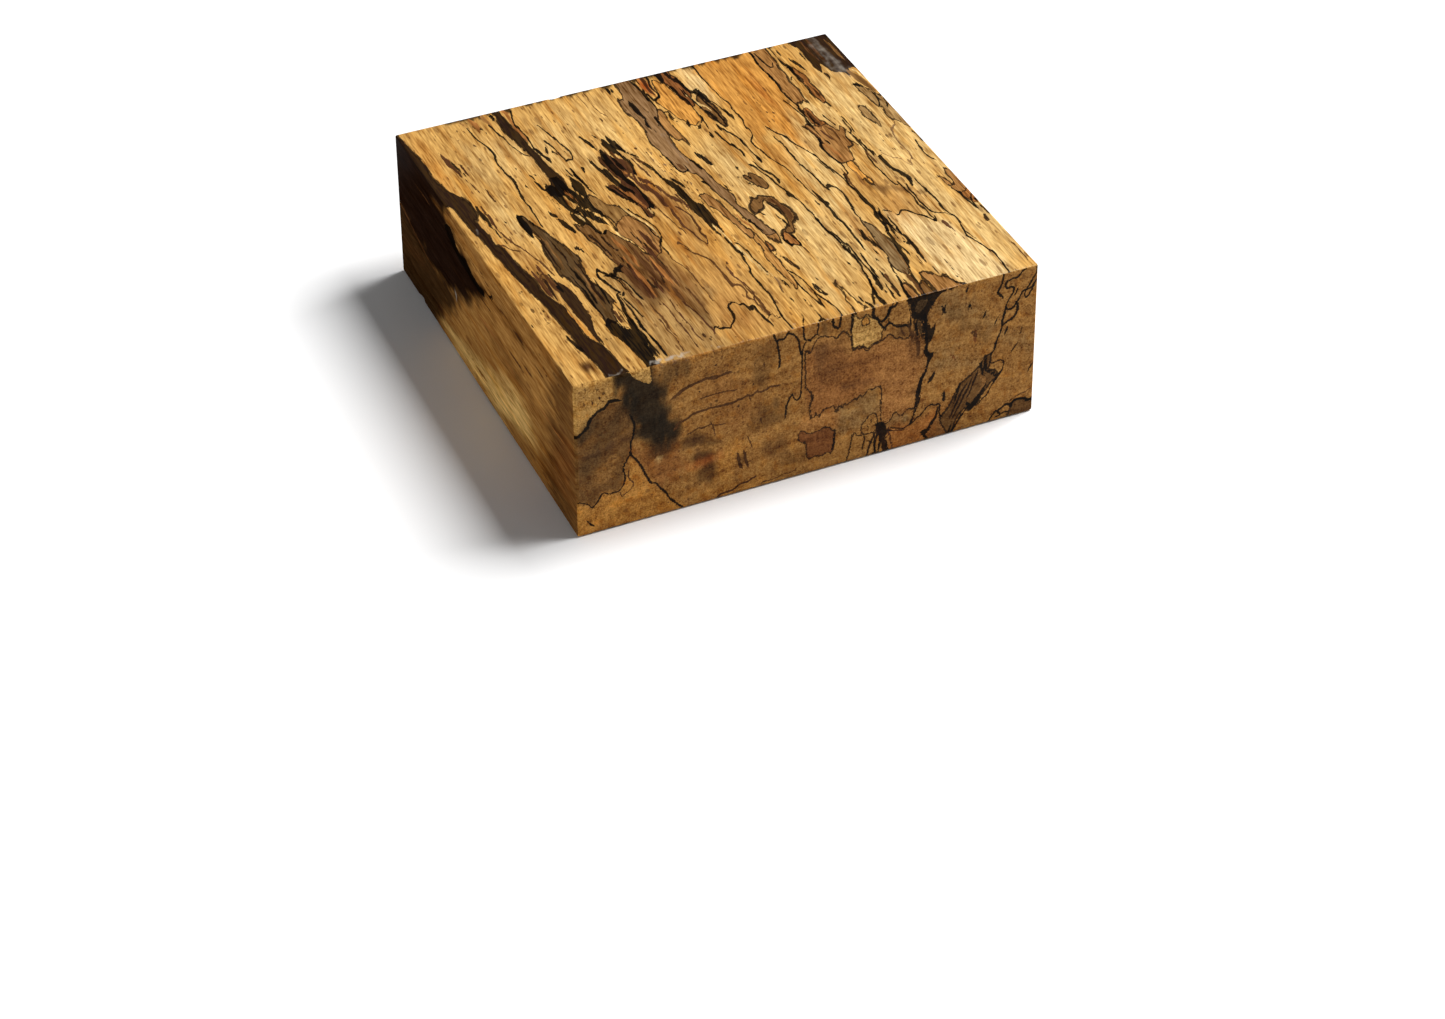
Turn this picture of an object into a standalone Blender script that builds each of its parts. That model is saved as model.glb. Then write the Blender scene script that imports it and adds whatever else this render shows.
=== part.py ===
"""Spalted tamarind bowl blank: one square block of figured wood, band-sawn on all six faces and dipped in clear wax.

Metres, with +Z up. The origin is the centre of the footprint, on the surface that the block rests on.
The grain runs along Y, so the faces at -Y and +Y are end grain, and those at -X and +X are side grain.
"""

from dataclasses import dataclass
from math import cos, radians, sin, tan

import bmesh
import bpy
from mathutils import Matrix, Vector

# Driving dimensions
WIDTH = 0.1524
LENGTH = 0.1527
THICKNESS = 0.0536
ARRIS_RADIUS = 0.0007
ARRIS_STEPS = 3

# The saw left the top out of parallel with the base: the block is thicker at its front end
TOP_FALL_TO_BACK_DEG = 1.17
TOP_FALL_TO_RIGHT_DEG = 0.16

NODE = "tamarind_blank"
WOOD_COLOUR = (0.60, 0.34, 0.10, 1.0)
WAX_ROUGHNESS = 0.28


@dataclass(frozen=True)
class SawnSide:
    """An upright face: which way it looks, how far out it stands, and how far the saw turned and leaned it."""

    faces: Vector
    reach: float
    yaw_deg: float
    lean_deg: float

    def plane(self):
        """The outward normal, and its distance from the origin, as a plane through the foot of the face."""
        turn = Matrix.Rotation(radians(self.yaw_deg), 3, "Z")
        level = turn @ self.faces
        lean = radians(self.lean_deg)
        normal = level * cos(lean) - Vector((0, 0, 1)) * sin(lean)
        return normal, normal.dot(self.faces * self.reach)


@dataclass(frozen=True)
class Nick:
    """A chip knocked out of an edge: a flattened ball whose middle stands on the edge."""

    name: str
    along: float  # share of the way from the first corner to the second
    corners: tuple
    size: tuple  # half its extent across, along Y and in height


FRONT = SawnSide(Vector((0, -1, 0)), LENGTH / 2, 0.28, -0.23)
BACK = SawnSide(Vector((0, 1, 0)), LENGTH / 2, -0.11, 0.0)
LEFT = SawnSide(Vector((-1, 0, 0)), WIDTH / 2, -0.30, -0.36)
RIGHT = SawnSide(Vector((1, 0, 0)), WIDTH / 2, 0.14, -0.20)

# A corner is named by its signs along X, Y and Z
NICKS = (
    Nick("nick_left_foot", 0.12, ((-1, 1, -1), (-1, -1, -1)), (0.0011, 0.0026, 0.0010)),
    Nick("nick_left_top", 0.93, ((-1, 1, 1), (-1, -1, 1)), (0.0007, 0.0022, 0.0006)),
    Nick("nick_front_corner", 0.0, ((-1, -1, 1), (1, -1, 1)), (0.0010, 0.0009, 0.0010)),
    Nick("nick_right_foot", 0.71, ((1, -1, -1), (1, 1, -1)), (0.0010, 0.0031, 0.0009)),
    Nick("nick_back_top", 0.36, ((-1, 1, 1), (1, 1, 1)), (0.0024, 0.0008, 0.0007)),
)


def top_plane():
    """The top's upward normal, and its distance from the origin."""
    normal = Vector((tan(radians(TOP_FALL_TO_RIGHT_DEG)), tan(radians(TOP_FALL_TO_BACK_DEG)), 1))
    return normal, THICKNESS


def base_plane():
    """The base's upward normal, and its distance from the origin."""
    return Vector((0, 0, 1)), 0.0


def meeting_point(planes):
    """The one point that three planes share."""
    normals = Matrix([normal for normal, _ in planes])
    distances = Vector([distance for _, distance in planes])
    return normals.inverted() @ distances


def block_corners():
    """The eight corners by their signs along X, Y and Z, with the footprint's middle at the origin."""
    found = {}
    for x_sign, x_side in ((-1, LEFT), (1, RIGHT)):
        for y_sign, y_side in ((-1, FRONT), (1, BACK)):
            for z_sign, level in ((-1, base_plane()), (1, top_plane())):
                planes = (x_side.plane(), y_side.plane(), level)
                found[x_sign, y_sign, z_sign] = meeting_point(planes)
    lowest = Vector([min(corner[axis] for corner in found.values()) for axis in range(3)])
    highest = Vector([max(corner[axis] for corner in found.values()) for axis in range(3)])
    middle = (lowest + highest) / 2
    middle.z = 0
    return {signs: corner - middle for signs, corner in found.items()}


def new_collection(name):
    """An empty collection in the scene."""
    made = bpy.data.collections.new(name)
    bpy.context.scene.collection.children.link(made)
    return made


def wood_material():
    """Straw-brown wood under a clear, low-gloss coat."""
    made = bpy.data.materials.new("spalted_tamarind")
    made.use_nodes = True
    shader = made.node_tree.nodes["Principled BSDF"]
    shader.inputs["Base Color"].default_value = WOOD_COLOUR
    shader.inputs["Roughness"].default_value = WAX_ROUGHNESS
    shader.inputs["Metallic"].default_value = 0.0
    made.diffuse_color = WOOD_COLOUR
    return made


def mesh_object(name, sculpt, collection):
    """A new object, in that collection, whose mesh the given function fills."""
    mesh = bpy.data.meshes.new(name)
    shape = bmesh.new()
    sculpt(shape)
    shape.to_mesh(mesh)
    shape.free()
    made = bpy.data.objects.new(name, mesh)
    collection.objects.link(made)
    return made


def sawn_block(corners, collection):
    """A cube with each corner moved to where its three saw cuts meet, and its edges eased."""

    def sculpt(shape):
        bmesh.ops.create_cube(shape, size=2.0)
        for vertex in shape.verts:
            signs = tuple(round(value) for value in vertex.co)
            vertex.co = corners[signs]

    block = mesh_object(NODE, sculpt, collection)
    arris = block.modifiers.new("eased_edges", "BEVEL")
    arris.width = ARRIS_RADIUS
    arris.segments = ARRIS_STEPS
    arris.limit_method = "ANGLE"
    return block


def nick_cutter(nick, corners, collection):
    """The flattened ball that takes one chip out of an edge."""
    first, second = (corners[signs] for signs in nick.corners)
    middle = first.lerp(second, nick.along)
    place = Matrix.LocRotScale(middle, None, Vector(nick.size))

    def sculpt(shape):
        bmesh.ops.create_icosphere(shape, subdivisions=2, radius=1.0, matrix=place)

    cutter = mesh_object(nick.name, sculpt, collection)
    cutter.hide_render = True
    cutter.display_type = "WIRE"
    return cutter


def cut(block, cutter):
    """Takes the cutter's shape out of the block."""
    chip = block.modifiers.new(cutter.name, "BOOLEAN")
    chip.operation = "DIFFERENCE"
    chip.solver = "EXACT"
    chip.object = cutter


def main():
    """Builds the blank from an empty scene."""
    for old in list(bpy.data.objects):
        bpy.data.objects.remove(old)
    parts = new_collection("tamarind_bowl_blank")
    cutters = new_collection("cutters")
    corners = block_corners()
    block = sawn_block(corners, parts)
    for nick in NICKS:
        cut(block, nick_cutter(nick, corners, cutters))
    block.data.materials.append(wood_material())


main()
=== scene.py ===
"""Spalted tamarind bowl blank: the finished look of the wood and its wax, on a pale studio floor.

Metres, +Z up, with the origin in the middle of the footprint. The grain runs along Y, so the faces at -Y
and +Y are end grain. The figure of each face is drawn in millimetres on that face, as a maker would pencil
it: each entry of a drawing names a tool, a wood colour and the points that the mark passes through, with a
slash before the next mark of the same kind. An indented line carries on the entry above it.
"""

import logging
from dataclasses import dataclass, field
from enum import Enum
from math import cos, radians, sin

import bpy
import numpy as np
from mathutils import Matrix, Vector


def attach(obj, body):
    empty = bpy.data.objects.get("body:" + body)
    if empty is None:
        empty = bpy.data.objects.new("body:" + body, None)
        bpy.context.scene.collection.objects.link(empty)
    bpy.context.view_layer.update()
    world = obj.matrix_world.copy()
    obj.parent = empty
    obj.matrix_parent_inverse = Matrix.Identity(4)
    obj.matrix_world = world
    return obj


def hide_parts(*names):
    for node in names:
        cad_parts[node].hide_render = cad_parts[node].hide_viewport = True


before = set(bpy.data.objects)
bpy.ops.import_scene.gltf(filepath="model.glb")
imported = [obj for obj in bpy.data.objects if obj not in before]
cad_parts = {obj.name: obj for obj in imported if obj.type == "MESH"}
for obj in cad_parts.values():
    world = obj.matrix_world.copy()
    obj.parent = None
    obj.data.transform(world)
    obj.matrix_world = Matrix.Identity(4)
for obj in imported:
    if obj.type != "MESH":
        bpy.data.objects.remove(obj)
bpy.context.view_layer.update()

NODE = "tamarind_blank"
MM = 0.001
TINY = 1e-9
SMALL = 1e-6

Pair = tuple[float, float]
Triple = tuple[float, float, float]
Colour = tuple[float, float, float, float]
Socket = bpy.types.NodeSocket

log = logging.getLogger(NODE)


class Hue(Enum):
    """Wood colours, as a white lamp shows them (0 to 255, display values)."""

    SOOT = (15, 10, 7)
    INK = (33, 19, 12)
    CHAR = (38, 30, 20)
    UMBER = (76, 47, 24)
    MOSS = (72, 52, 30)
    DUN = (101, 69, 36)
    ASH = (116, 85, 54)
    FLINT = (113, 88, 56)
    BRONZE = (118, 85, 45)
    OLIVE = (138, 106, 64)
    RUST = (68, 39, 23)
    BRICK = (114, 68, 34)
    CHESTNUT = (136, 86, 42)
    BROWN = (136, 94, 50)
    ROSE = (146, 92, 48)
    BLUSH = (161, 109, 57)
    OCHRE = (156, 110, 56)
    HONEY = (180, 124, 56)
    EMBER = (160, 86, 36)
    GOLD = (185, 141, 77)
    STRAW = (193, 158, 100)
    CREAM = (203, 173, 121)
    # This hue is no colour of the wood: it is painted reflection, the pale light thrown up onto the left
    # face.
    BUTTER = (228, 186, 112)

    @property
    def linear(self) -> np.ndarray:
        """The colour as linear light."""
        shown = np.array(self.value) / 255
        return np.where(shown <= 0.04045, shown / 12.92, ((shown + 0.055) / 1.055) ** 2.4)


class Tool(Enum):
    """What a mark of a drawing does."""

    PATCH = "a filled outline, with a dark edge where edge= gives one"
    BAND = "a patch given by rows across it: place along the grain, left side, right side"
    SHADE = "a softly filled outline"
    HAZE = "a soft stroke, with its radius at each point"
    LINE = "a zone line"
    STREAK = "a stroke with its half-width at each point, running out to hairs"
    FLECK = "short dashes along the grain, each a place and a half-width"
    # A mark of this tool is a painted highlight: glints and reflections of light on the wax, put into the
    # colour.
    BLOOM = "milky wax, with its radius at each point"
    SPECKS = "a field of fine dark specks, with its radius at each point"


# Near the end of the top's drawing, a soot shade darkens a thin strip along the back edge of the top.
TOP_DRAWING = """
shade gold soft=6 fill=.6 0,0 10,0 4,100 0,100
haze brown fill=.4 stretch=3 126,62,6
haze honey fill=.75 stretch=5 5,135,3.5
haze olive fill=.3 stretch=3 18,120,7
haze ochre fill=.6 stretch=3 60,25,12 62,48,10
shade olive soft=3 fill=.75 31,46 37,52 50,44 56,30 50,12 48,-4 30,-4 30,25
haze umber fill=.8 stretch=2 38,47,5 39,38,4
haze moss fill=.5 stretch=2.5 48,36,6 49,24,4
haze rust fill=.55 stretch=2 42,40,6
haze chestnut fill=.4 stretch=3 47,40,7
haze rust fill=.5 stretch=3 12.5,56,3.5
haze rust fill=.75 8,7.5,2
haze rust fill=.2 stretch=1.5 25.5,148,4
streak brown 21.2,152,.4 22.2,149,.5 22.8,146,.4
streak chestnut 25,152,.7 25.6,148.5,.9 25.4,144,.4
streak brown 29,152,.5 29.5,148,.7 30.2,143,.3
streak soot 31.4,152,.4 32,149,.5 31.9,146,.3
fleck soot 26.4,145.5,.45 23.6,150,.35 27.2,142,.35 24.6,147,.3
haze brown fill=.4 stretch=2 28,132,3
haze straw fill=.7 stretch=4 16,92,5
haze straw fill=.5 stretch=4 18,125,4 66,125,6 68,110,4
haze straw fill=.75 stretch=4 92,80,9 92,30,9
haze cream fill=.6 stretch=4 100,142,4
haze cream fill=.5 stretch=3 114,92,4 117,70,3
shade honey soft=1.4 fill=.9 104,156 123.6,156 123.6,110 121,100 116,89 110.3,108 105,100 104.9,120
shade honey soft=1 fill=.55 102.3,101 103.5,91 106,80 107,66 109,52 113,50 113,64 112,75 110.5,83 110.4,96
haze ember fill=.35 stretch=8 118,128,1.6
haze straw fill=.9 stretch=2 142,80,18 144,30,16 138,115,13 112,75,6 110,20,8 96,60,6
shade cream soft=2 fill=.9 123.5,43 128,45 131,41 135,36 138,32 141,24 143,12 142,-4 128,-4 126,6 123,14
haze chestnut fill=.25 stretch=2 58,12,8
haze honey fill=.55 stretch=4 4.5,122,3
haze honey fill=.45 stretch=4 30,74,3
haze rust fill=.6 stretch=2 6.8,6,2
haze olive fill=.5 stretch=2 106.5,10,3
haze ochre fill=.6 stretch=2 132,52,9 126,44,4
haze rust fill=.45 stretch=3 65,62,3 65,78,3
haze rust fill=.5 126,60,2.5 139.5,53,1.5
haze ash fill=.35 stretch=6 70.6,86,1.6
streak chestnut 80.4,66,.3 81.6,58,.5 82.6,50,.3
haze ash fill=.5 stretch=6 121.5,36,1.8
haze ash fill=.4 stretch=4 134,74,1.6
haze ochre fill=.5 stretch=3 120.5,90,2.5
specks 19,45,2.4 19.5,20,3 19.5,4,3
specks stretch=3 45,15,6
specks stretch=2 5,60,4 5,35,3 / 75,90,4
specks stretch=3 93,50,3 93,40,3 / 90,105,3
specks stretch=2 142,90,8 / 68,120,6
specks stretch=3 114,115,6 / 19,140,5
band ink edge=.45 154,-3,0 150,-3,.5 145,-3,1.2 140,-3,1.8 135,-3,2.3 130,-3,2.2 122,-3,2.2 118,-3,2.8
 114,-3,4 111,-3,6 108,-3,7 105.6,-3,7.1 104,1.5,7.1 100,2,7 95,2.7,5.5 90,3,6 85,3.2,6.3 80,3.7,6.3
 78,4,7.5 75,4.2,7.6 70,4.7,8.2 65,5,8.7 60,5.3,9.3 55,5.8,10 50,6.3,10 45,7.8,11 40,8.2,12.5 35,8.3,12.8
 30,9,13 25,9.5,13.2 20,9.5,14 15,9.5,15.5 10,10.2,16 5,10.8,16.5 -3,11,17
streak soot 8.2,24.5,.3 8.3,21,.9 9.3,17,.7
streak ink 16.4,51,1 16.4,47,1.7 16.4,42,2.2 16.6,36,1.9 16.2,30,1.6 16.1,24,.9 16,18,.8
streak honey 13.1,37,.2 13.7,30,.45 14.5,22,.4 15.8,16,.1
haze rust fill=.5 stretch=3 12.6,52,3
haze brown fill=.45 stretch=3 12.4,68,3
haze rust fill=.35 stretch=4 19,16,2
streak rust 10.6,64,.3 11.2,54,.7 11.6,46,.4 / 13.4,64,.3 14,56,.6 14.4,47,.6
streak soot 15,58,.2 15.4,52,.7 15.6,46,.5
streak ink 12.5,60,.2 12.6,52,.5 12.6,43,.4
patch moss edge=.38 18,90.3 17.6,88 17.8,84 18.5,80 19.8,81 20.2,79 19.8,75 18.6,71 18.5,66 18.3,62 18.3,56
 20.3,50 21,45 21.5,38 21.6,30 21.2,25 25,27 25.2,33 26.3,35 27.6,35.5 27.6,40 26.6,44 25.3,50 25.8,57 27,62
 27.3,65 26,67.5 24.8,71 23.8,77 22.5,83 21.3,87 20,90.3
patch soot 21,27 21,19 22,14 23,9 24,3 24,-3 27,-3 28,9 28.5,15 29.5,20 29,25 28.3,28 27.3,24 26.5,21.5
 25,22 24.5,27
streak soot 30.5,25,.4 30.6,15,.5 31.3,6,.4 31.7,3,.2 / 29,15,.3 29.2,5,.4 / 27.5,12,.4 28,3,.3
patch gold edge=.2 26.5,34.7 25.4,32 25,28 25,23 26.5,21.6 27.4,25 27.4,31
streak umber 26.2,30,.2 26.2,27.5,.5 26.3,25,.4
streak rust 25.7,33,.2 25.6,29,.3 25.7,26,.2
band gold edge=0 51,25.3,28.2 45,26.6,28.8 40,27.8,29.3 35,28,29 28,28.4,28.6
line 28.7,52,.4 29.2,47,.4 30.3,42,.4 31.2,39,.4 30,38.5,.3
streak soot 29.8,39,.4 31.3,36.5,.6 32.4,39.5,.2
line 29.7,38,.5 29.3,34,.5 28.8,29,.5 28.6,26,.4 / 31,52 33,45 33.5,40 / 32.5,49 35,42 35.7,38 36.3,33 /
 31.2,35 32,30 32.8,25
line w=.4 30.8,50.2 32,50 33.2,47.5 34,49.5 35,51.5 36,50
line w=.2 51,11.5 49.5,11 48.3,9
fleck soot .3,35,.4 5.7,34,.25 6.2,40,.25 13.8,89.2,.35 31.5,89,.35 12.8,126.5,.35 12,121,.3 3.2,118,.3
 15.7,145,.25
fleck rust 21,144.5,.35 21.2,134.5,.4 10.2,144.5,.3 22.8,146.3,.5 53.7,3.3,.5
bloom fill=.5 11,.4,1 16,.4,1
bloom fill=.8 26,.5,1.2 38,.8,1.5
bloom fill=.5 45,.4,1 49,.4,1
bloom fill=.4 52,.4,.8 62,.3,.7 84,.3,.6 112,.2,.6
bloom fill=.5 4,89,.8 3.6,86.5,.6
streak soot 8.5,103,.5 8.2,99,1 8.3,96,.9 8.9,92,.5 9.2,87,.4 9.5,80,.5 9.3,78.5,.2
streak rust 10,101,.3 9.8,95,.6 10.2,88,.4 10.8,82,.2
line umber 11.5,50 11.5,55 12.5,57.5 14,58 14.5,55 15,50 / 8,77.5 10,74.5 11.5,72.5 / 10.5,87 11,82 12,76
 13.5,72 14.8,68 16,62 16.5,58
streak soot 18.4,90,.8 18.6,86,1.1 18.8,81,1 / 18,90,.4 20,90,.5 21,87,.4 / 28,92,.3 28.7,88,.7 29.3,85.5,.4
 / 28.9,84,.4 29.8,82,.8 30.7,78,.9 31.5,75,.4 / 28.2,67,.5 28.9,65.6,.8 29.5,63.6,.4
patch dun edge=.3 32.7,79 32.8,76 33.8,71 34.7,65 35,60 36.5,56 37.5,53 38.5,48 39.5,40 41,44 42,36 43.5,43
 45,38 46,46 47.5,42 49,48 48,53.5 46,58.5 44.5,62 43,66 41.5,69.5 39.5,72 37.5,75.5 36,78 33.5,79
streak ink 34.4,74,.2 35.6,66,.5 36.6,60,.3 / 37.2,73,.2 38.2,67,.5 39.4,62,.3
streak chestnut 40.4,68,.2 41.4,60,.8 42,52,.4
streak umber 36.6,58,.3 37.4,46,1.2 38.2,34,.6
streak chestnut 39.4,58,.3 40,46,.8 40.4,34,.3
streak ink 38.8,60,.2 39,52,.5 39.4,42,.2
streak rust 39,50,.3 39.4,38,.6 39.8,28,.2
streak umber 43.6,62,.3 44.2,50,.9 44.8,33,.3
streak rust 45.4,58,.3 46,50,.6 46.4,42,.3 / 42.6,50,.2 43,40,.5 43.2,33,.2
streak chestnut 46.6,56,.3 47.2,46,.7 47.6,34,.3
streak umber 48,54,.3 48.6,44,.9 49,33,.3 / 33.4,46,.2 34.2,38,.5 34.8,29,.2 / 46.4,38,.2 46.8,30,.5
 47,23,.2
line rust w=.17 40.8,29 41.3,15 41,2 / 43.4,30 43.2,18 43.8,6
line rust w=.15 36.4,22 36.8,12 36.6,2
streak rust 46.8,26,.2 48,17,.4 48.6,9,.3
streak umber 37.2,30,.2 37.4,22,.3 37.6,12,.2 / 50.6,34,.2 50.8,26,.4 51,18,.2
streak straw 42.8,71,.5 43.5,66,.4 45.5,60.5,.2
patch bronze edge=.3 42.3,93 43.5,92 45,89.5 47,87 48.5,85 49.8,81 50.8,76 51,72 48,70 44,74 44.2,76 43.5,79
 42.3,82 41.6,86 41.8,90
patch brown edge=.2 50.8,76 52.2,72 53.8,67 54,62 52.5,58 51,54 49,52 48.3,53 47,57 46,60 44.5,65 43,70
 43.5,74 46,77
streak ink 46.6,70,.2 47.4,63,.5 48.6,56,.3
streak rust 49,68,.3 50,60,.9 50.4,54,.4
streak dun 51.8,72,.3 52.2,66,.6 51.8,59,.3
streak rust 47.3,61,.3 48,56,.8 48.6,52,.4
haze umber fill=.55 stretch=3 50,50,2.6 38,32,2.6
streak soot 33.8,102,2 33.9,97,1.8 34.3,92,1.3 35.2,88,.9 36.3,84.5,.6 36.8,81,.5 37.2,77,.7 38.5,73.5,.6
 40.5,70.5,.5 / 34,86,.7 34.6,83,1.6 35.4,80,1.3 36.8,77.5,.6 / 37.3,103,2 37.8,98,2.1 38.4,93,2.1
 39.9,88,1.8 41.3,84,1.2 42.4,80,.9 43,76,.6 42.8,72,.3 / 36.4,89,.3 37.6,86,1.3 38.6,83,1.8 40,80,1.6
 41.4,77,1.1 42.4,74.5,.4 / 41.6,104,.6 41.8,100,1.4 42,96,1.3 41.6,92,.6 41.7,87,.3 / 43.6,108,.3 44,102,.7
 44.4,98,.6 / 44,97.5,.3 45,94,.4 45.5,92,.2
streak gold 35.8,97,.2 36.2,93,.5 36.8,89.5,.5 38.9,87,.4 40.4,84,.3 41.9,80,.5 42.6,77,.6 42.5,74,.3
streak chestnut 36.9,101,.2 37.4,97,.5 38,93,.3
streak straw 34.8,86,.2 35.5,83.5,.3 36.2,80,.3
patch gold 37.3,77 39,75.5 40.8,74.8 42.5,73 42.6,70 41,71.5 39,73.5 37.8,75
line w=.3 28.6,50 28.7,53 29.3,54.8 30.2,52.5 31,50.5
streak soot 35,50,.4 36,53,.8 37.2,52,.4
streak soot 10.6,131,.15 10.9,127,.3 11.3,123,.25
fleck soot 9.6,133,.35 10.3,126,.4 12,122,.3 9.4,127.5,.3
streak rust 9.1,138,.3 9.5,132,.8 9.7,127,.9 10.4,122,.6 11.2,117,.35 12,112,.2 13,108,.15 / 12,128,.15
 12.6,125,.35 12.9,121,.3
streak chestnut 36.9,152,.6 36.7,145,.6 37,138,.6 37.5,131,.4
line umber 14.8,111 15,106 15.2,101
line 22.5,146 23,140 24,135 24.5,130.5,.4 24.3,126 23.8,120 24.2,116,.4 24.7,112.5,.4 24,105 23.3,100
 23.8,95 23.6,90 23.4,86 23.5,84
band ink edge=.4 155,32.7,34.8 148,33.2,35.3 145,33,35.2 140,32.8,36 137,32.8,36.4 133,33.6,36.7 130,34,36.8
 126,35,37 122,35.2,37.5 118,35.3,37.4 110,35.4,38.6 107,35.5,38.8 104,34,38.8 101,32.5,38.8 98,33,38
line 38.6,152 38,147 37.3,143 37.7,138 38.2,133 37.8,128 38.5,124,.4 39.5,120,.4 39.8,117,.3
streak soot 31.5,150,.5 32.2,147.5,.3
line w=.2 29.5,145 30.5,140 31.5,135 31.8,130 33,126 34.8,122 / 43.6,140 44.5,135 45.5,130 46.6,125 47.3,120
 46.5,117.5,.3 44.8,116,.4 44.2,115.5,.3
line w=.25 42.3,129 42.8,126,.4 43.3,123 43.8,119 44.3,116
streak soot 41,126,.3 41,124.5,.6 40.9,122,.2
fleck soot 34.3,127,.35 42.5,120.5,.35 46.2,121.5,.25 27.3,108.5,.35 28,117,.25 32.1,112.5,.25 47.2,109,.25
 52,104,.25
streak soot 43.6,110,.4 43.8,105,.3 43.8,101,.4 / 42,110,.2 42.3,106,.3 / 41,106,.4 41.5,102,.9 /
 30.8,112,.4 31,109.5,.2 / 51.1,111,.5 51.9,105,.7 52.8,99,.7
line w=.35 30.8,108 31.2,105 31.8,103 33,102.7 34,104
line umber w=.16 53,52 53,50 54,46 54.7,40 54.8,32 55,25
line umber w=.3 59,51.5 61,48 62.7,45.5 63.3,42 63.4,38 63.6,34,.4 63.4,32,.4 63.7,29.5,.4 65,28 66,25.5
 66.3,22.5 65.5,21 65.6,19 66.8,17
line rust w=.22 66,40 66,32 67,28 68,24 68,21 67,18 66.5,15
fleck rust 67.5,40,.3
line w=.36 50,11.5 51.5,10 53,8.5 55,9 56.5,10.5 57.5,14 58.2,17 60,19.5 62.3,19 62.8,16.5 63.3,14,.5
 64.7,15.5 65.2,12 65.5,8 65.8,6
streak umber 66.7,16,.3 67.5,11,.8 68.5,9.5,.6 69.5,7.5,.4 70.2,6.8,.3
line w=.27 73,43 72.5,40 72,36 71.4,32 71.7,28 71.4,22 71.6,18 71.2,14 70.6,10 70.3,7 70.4,0
streak soot 72,52,.5 72.5,47,.4 73.2,43,.5 74,40,.35 74.6,36,.2 75.2,32,.2 76,29,.25 76.5,25,.25 76.3,20,.2
 76.6,14,.2 76.3,10,.2 75.7,6,.2 74.5,1,.2
streak straw 73,49,.4 74,42,.5 75,35,.5 76.2,30,.5 77.5,26,.3
line w=.22 73.5,50 74.7,46.5 75.2,42 75.6,37 76,33 76.5,29.5
streak ash 77.3,26,.3 77,23,.4 76.6,21,.3
streak soot 78.2,25.5,.25 78.7,23,.5 78.5,21,.4 79.2,18.5,.2 79.8,14,.2 80.3,10,.2 80.6,6,.2 81,3.5,.3
 81.7,0,.2 / 80,1.8,.6 81,3.3,.3
patch ochre edge=.22 79.4,54 79.8,46 79.8,42 78.9,40 78.6,36 79.3,32 80,27 80.5,22 80.7,19 82,21 82.2,24
 82.3,29 82.2,34 81.8,40 81.7,46 81.3,54
line w=.22 82.3,28 83.5,24 84.5,19 85,14 86,9 87,3 87,-1
line w=.2 82.2,22 82.3,17 82.8,12 83.8,7 84.3,10 84.6,14
patch chestnut edge=.4 82.2,39.7 83.6,40 83.8,42.5 83.4,45.6 82.2,45.5 82,42
patch brown edge=.3 83.6,53 85,47 86.4,42 87.2,46 87.4,53
patch dun edge=.25 83.4,36.5 84.4,34.5 85.3,32 85.9,29.8 84.9,30.5 83.8,33.5
fleck soot 88.5,22,.3 100.4,24.5,.4 101,22,.25
line w=.2 86.2,20 85.8,17 86.3,14 87.3,11.8 87.3,14 86.9,18 86.2,20
patch gold edge=.28 92.6,19.3 92.2,15 92.4,10 91.7,8 91.7,3 91,-1 94.9,-1 94.3,4 93.5,9 93.3,14
streak soot 95.6,7,.2 96,3.5,.4 96.7,1.5,.7 97,-1,.5 / 99.5,7.3,.3 100,6,.6 99.3,4,.4 98.5,1,.35 / 103,22,.2
 102.3,14,.45 101.5,9,.45 101,5.5,.5 100.5,-1,.5
line 102.3,52 102.2,46,.4 102.8,38 103,30
line umber w=.2 91.3,40 91.8,38 92.5,34.5
line w=.3 89,48 88,45.5 88.8,42 89.5,40.5 91.6,40.2 91.8,44 91.8,48
streak soot 88.4,45,.7 88.7,43,.4
patch rust edge=0 50.3,95.5 52.3,97.2 53.5,95 55,96 56,99 58,97 58.8,92 59.3,86 59.8,78 58.8,77.5 58,79.5
 57.3,76 56.5,73.5 55.3,76 55,80 54.2,85 53,88 51.3,91
streak chestnut 53,95,.3 54.6,89,.7 56.2,83,.6 57.2,78,.2
streak rust 55.4,98,.3 57,92,.7 57.6,86,.5 57.9,80,.2
streak chestnut 56.2,109,.3 57.4,104,.7 58.6,100,.5
streak rust 59,108,.2 59.6,103,.5 60.4,99,.3
streak soot 53,104,1.2 53.7,98,1 54.8,93,.9 56,90,.7 / 57.3,103,1 57.3,98,.8 57.8,94,.8 58.5,90,.6
 58.8,84,.6 58.8,79,.5 / 50.5,95,.7 52.5,89,.7 54.2,85.5,.5 55,80,.3 55.3,76,.4 56.7,74,.4 57.5,77,.3 /
 57,80,.4 58.7,79.5,.5
streak straw 57.3,79.5,.2 57,76.5,.3
haze chestnut fill=.6 stretch=5 61.5,86,2.6 65.5,76,2.4
haze rust fill=.45 stretch=5 63.5,80,1.6
streak rust 59,98,.4 60.5,92,.8 62,87,.7 63,83,1 62.8,79,.7 63.2,76,.4 / 61,98,.7 62.3,94,.8 63.5,91,.7
 65,87,.5 66.2,83,.5 67.3,79,.6 68.3,75,.5 69,70,.3
haze brown fill=.5 stretch=4 65,66,2.6
line rust w=.3 63.3,75 62.8,72 63.2,66 63.8,61 64.7,56.5 66,54.8 67,56 66.8,58 66.3,60 67.3,62 67.5,66
 66.8,70 66,74 65.3,76
fleck rust 68.8,53,.5
line umber w=.18 59.7,78 60,74 61,69 62,64 62,60 / 57.5,58 58.5,55 60,51
streak soot 65.7,103,.5 66.3,99,.6 67.3,95,.4 68.7,91,.8 69.5,87,1 70,83,1.3 70.3,79,1.2 70.6,76,1.6 71,73,2
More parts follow.
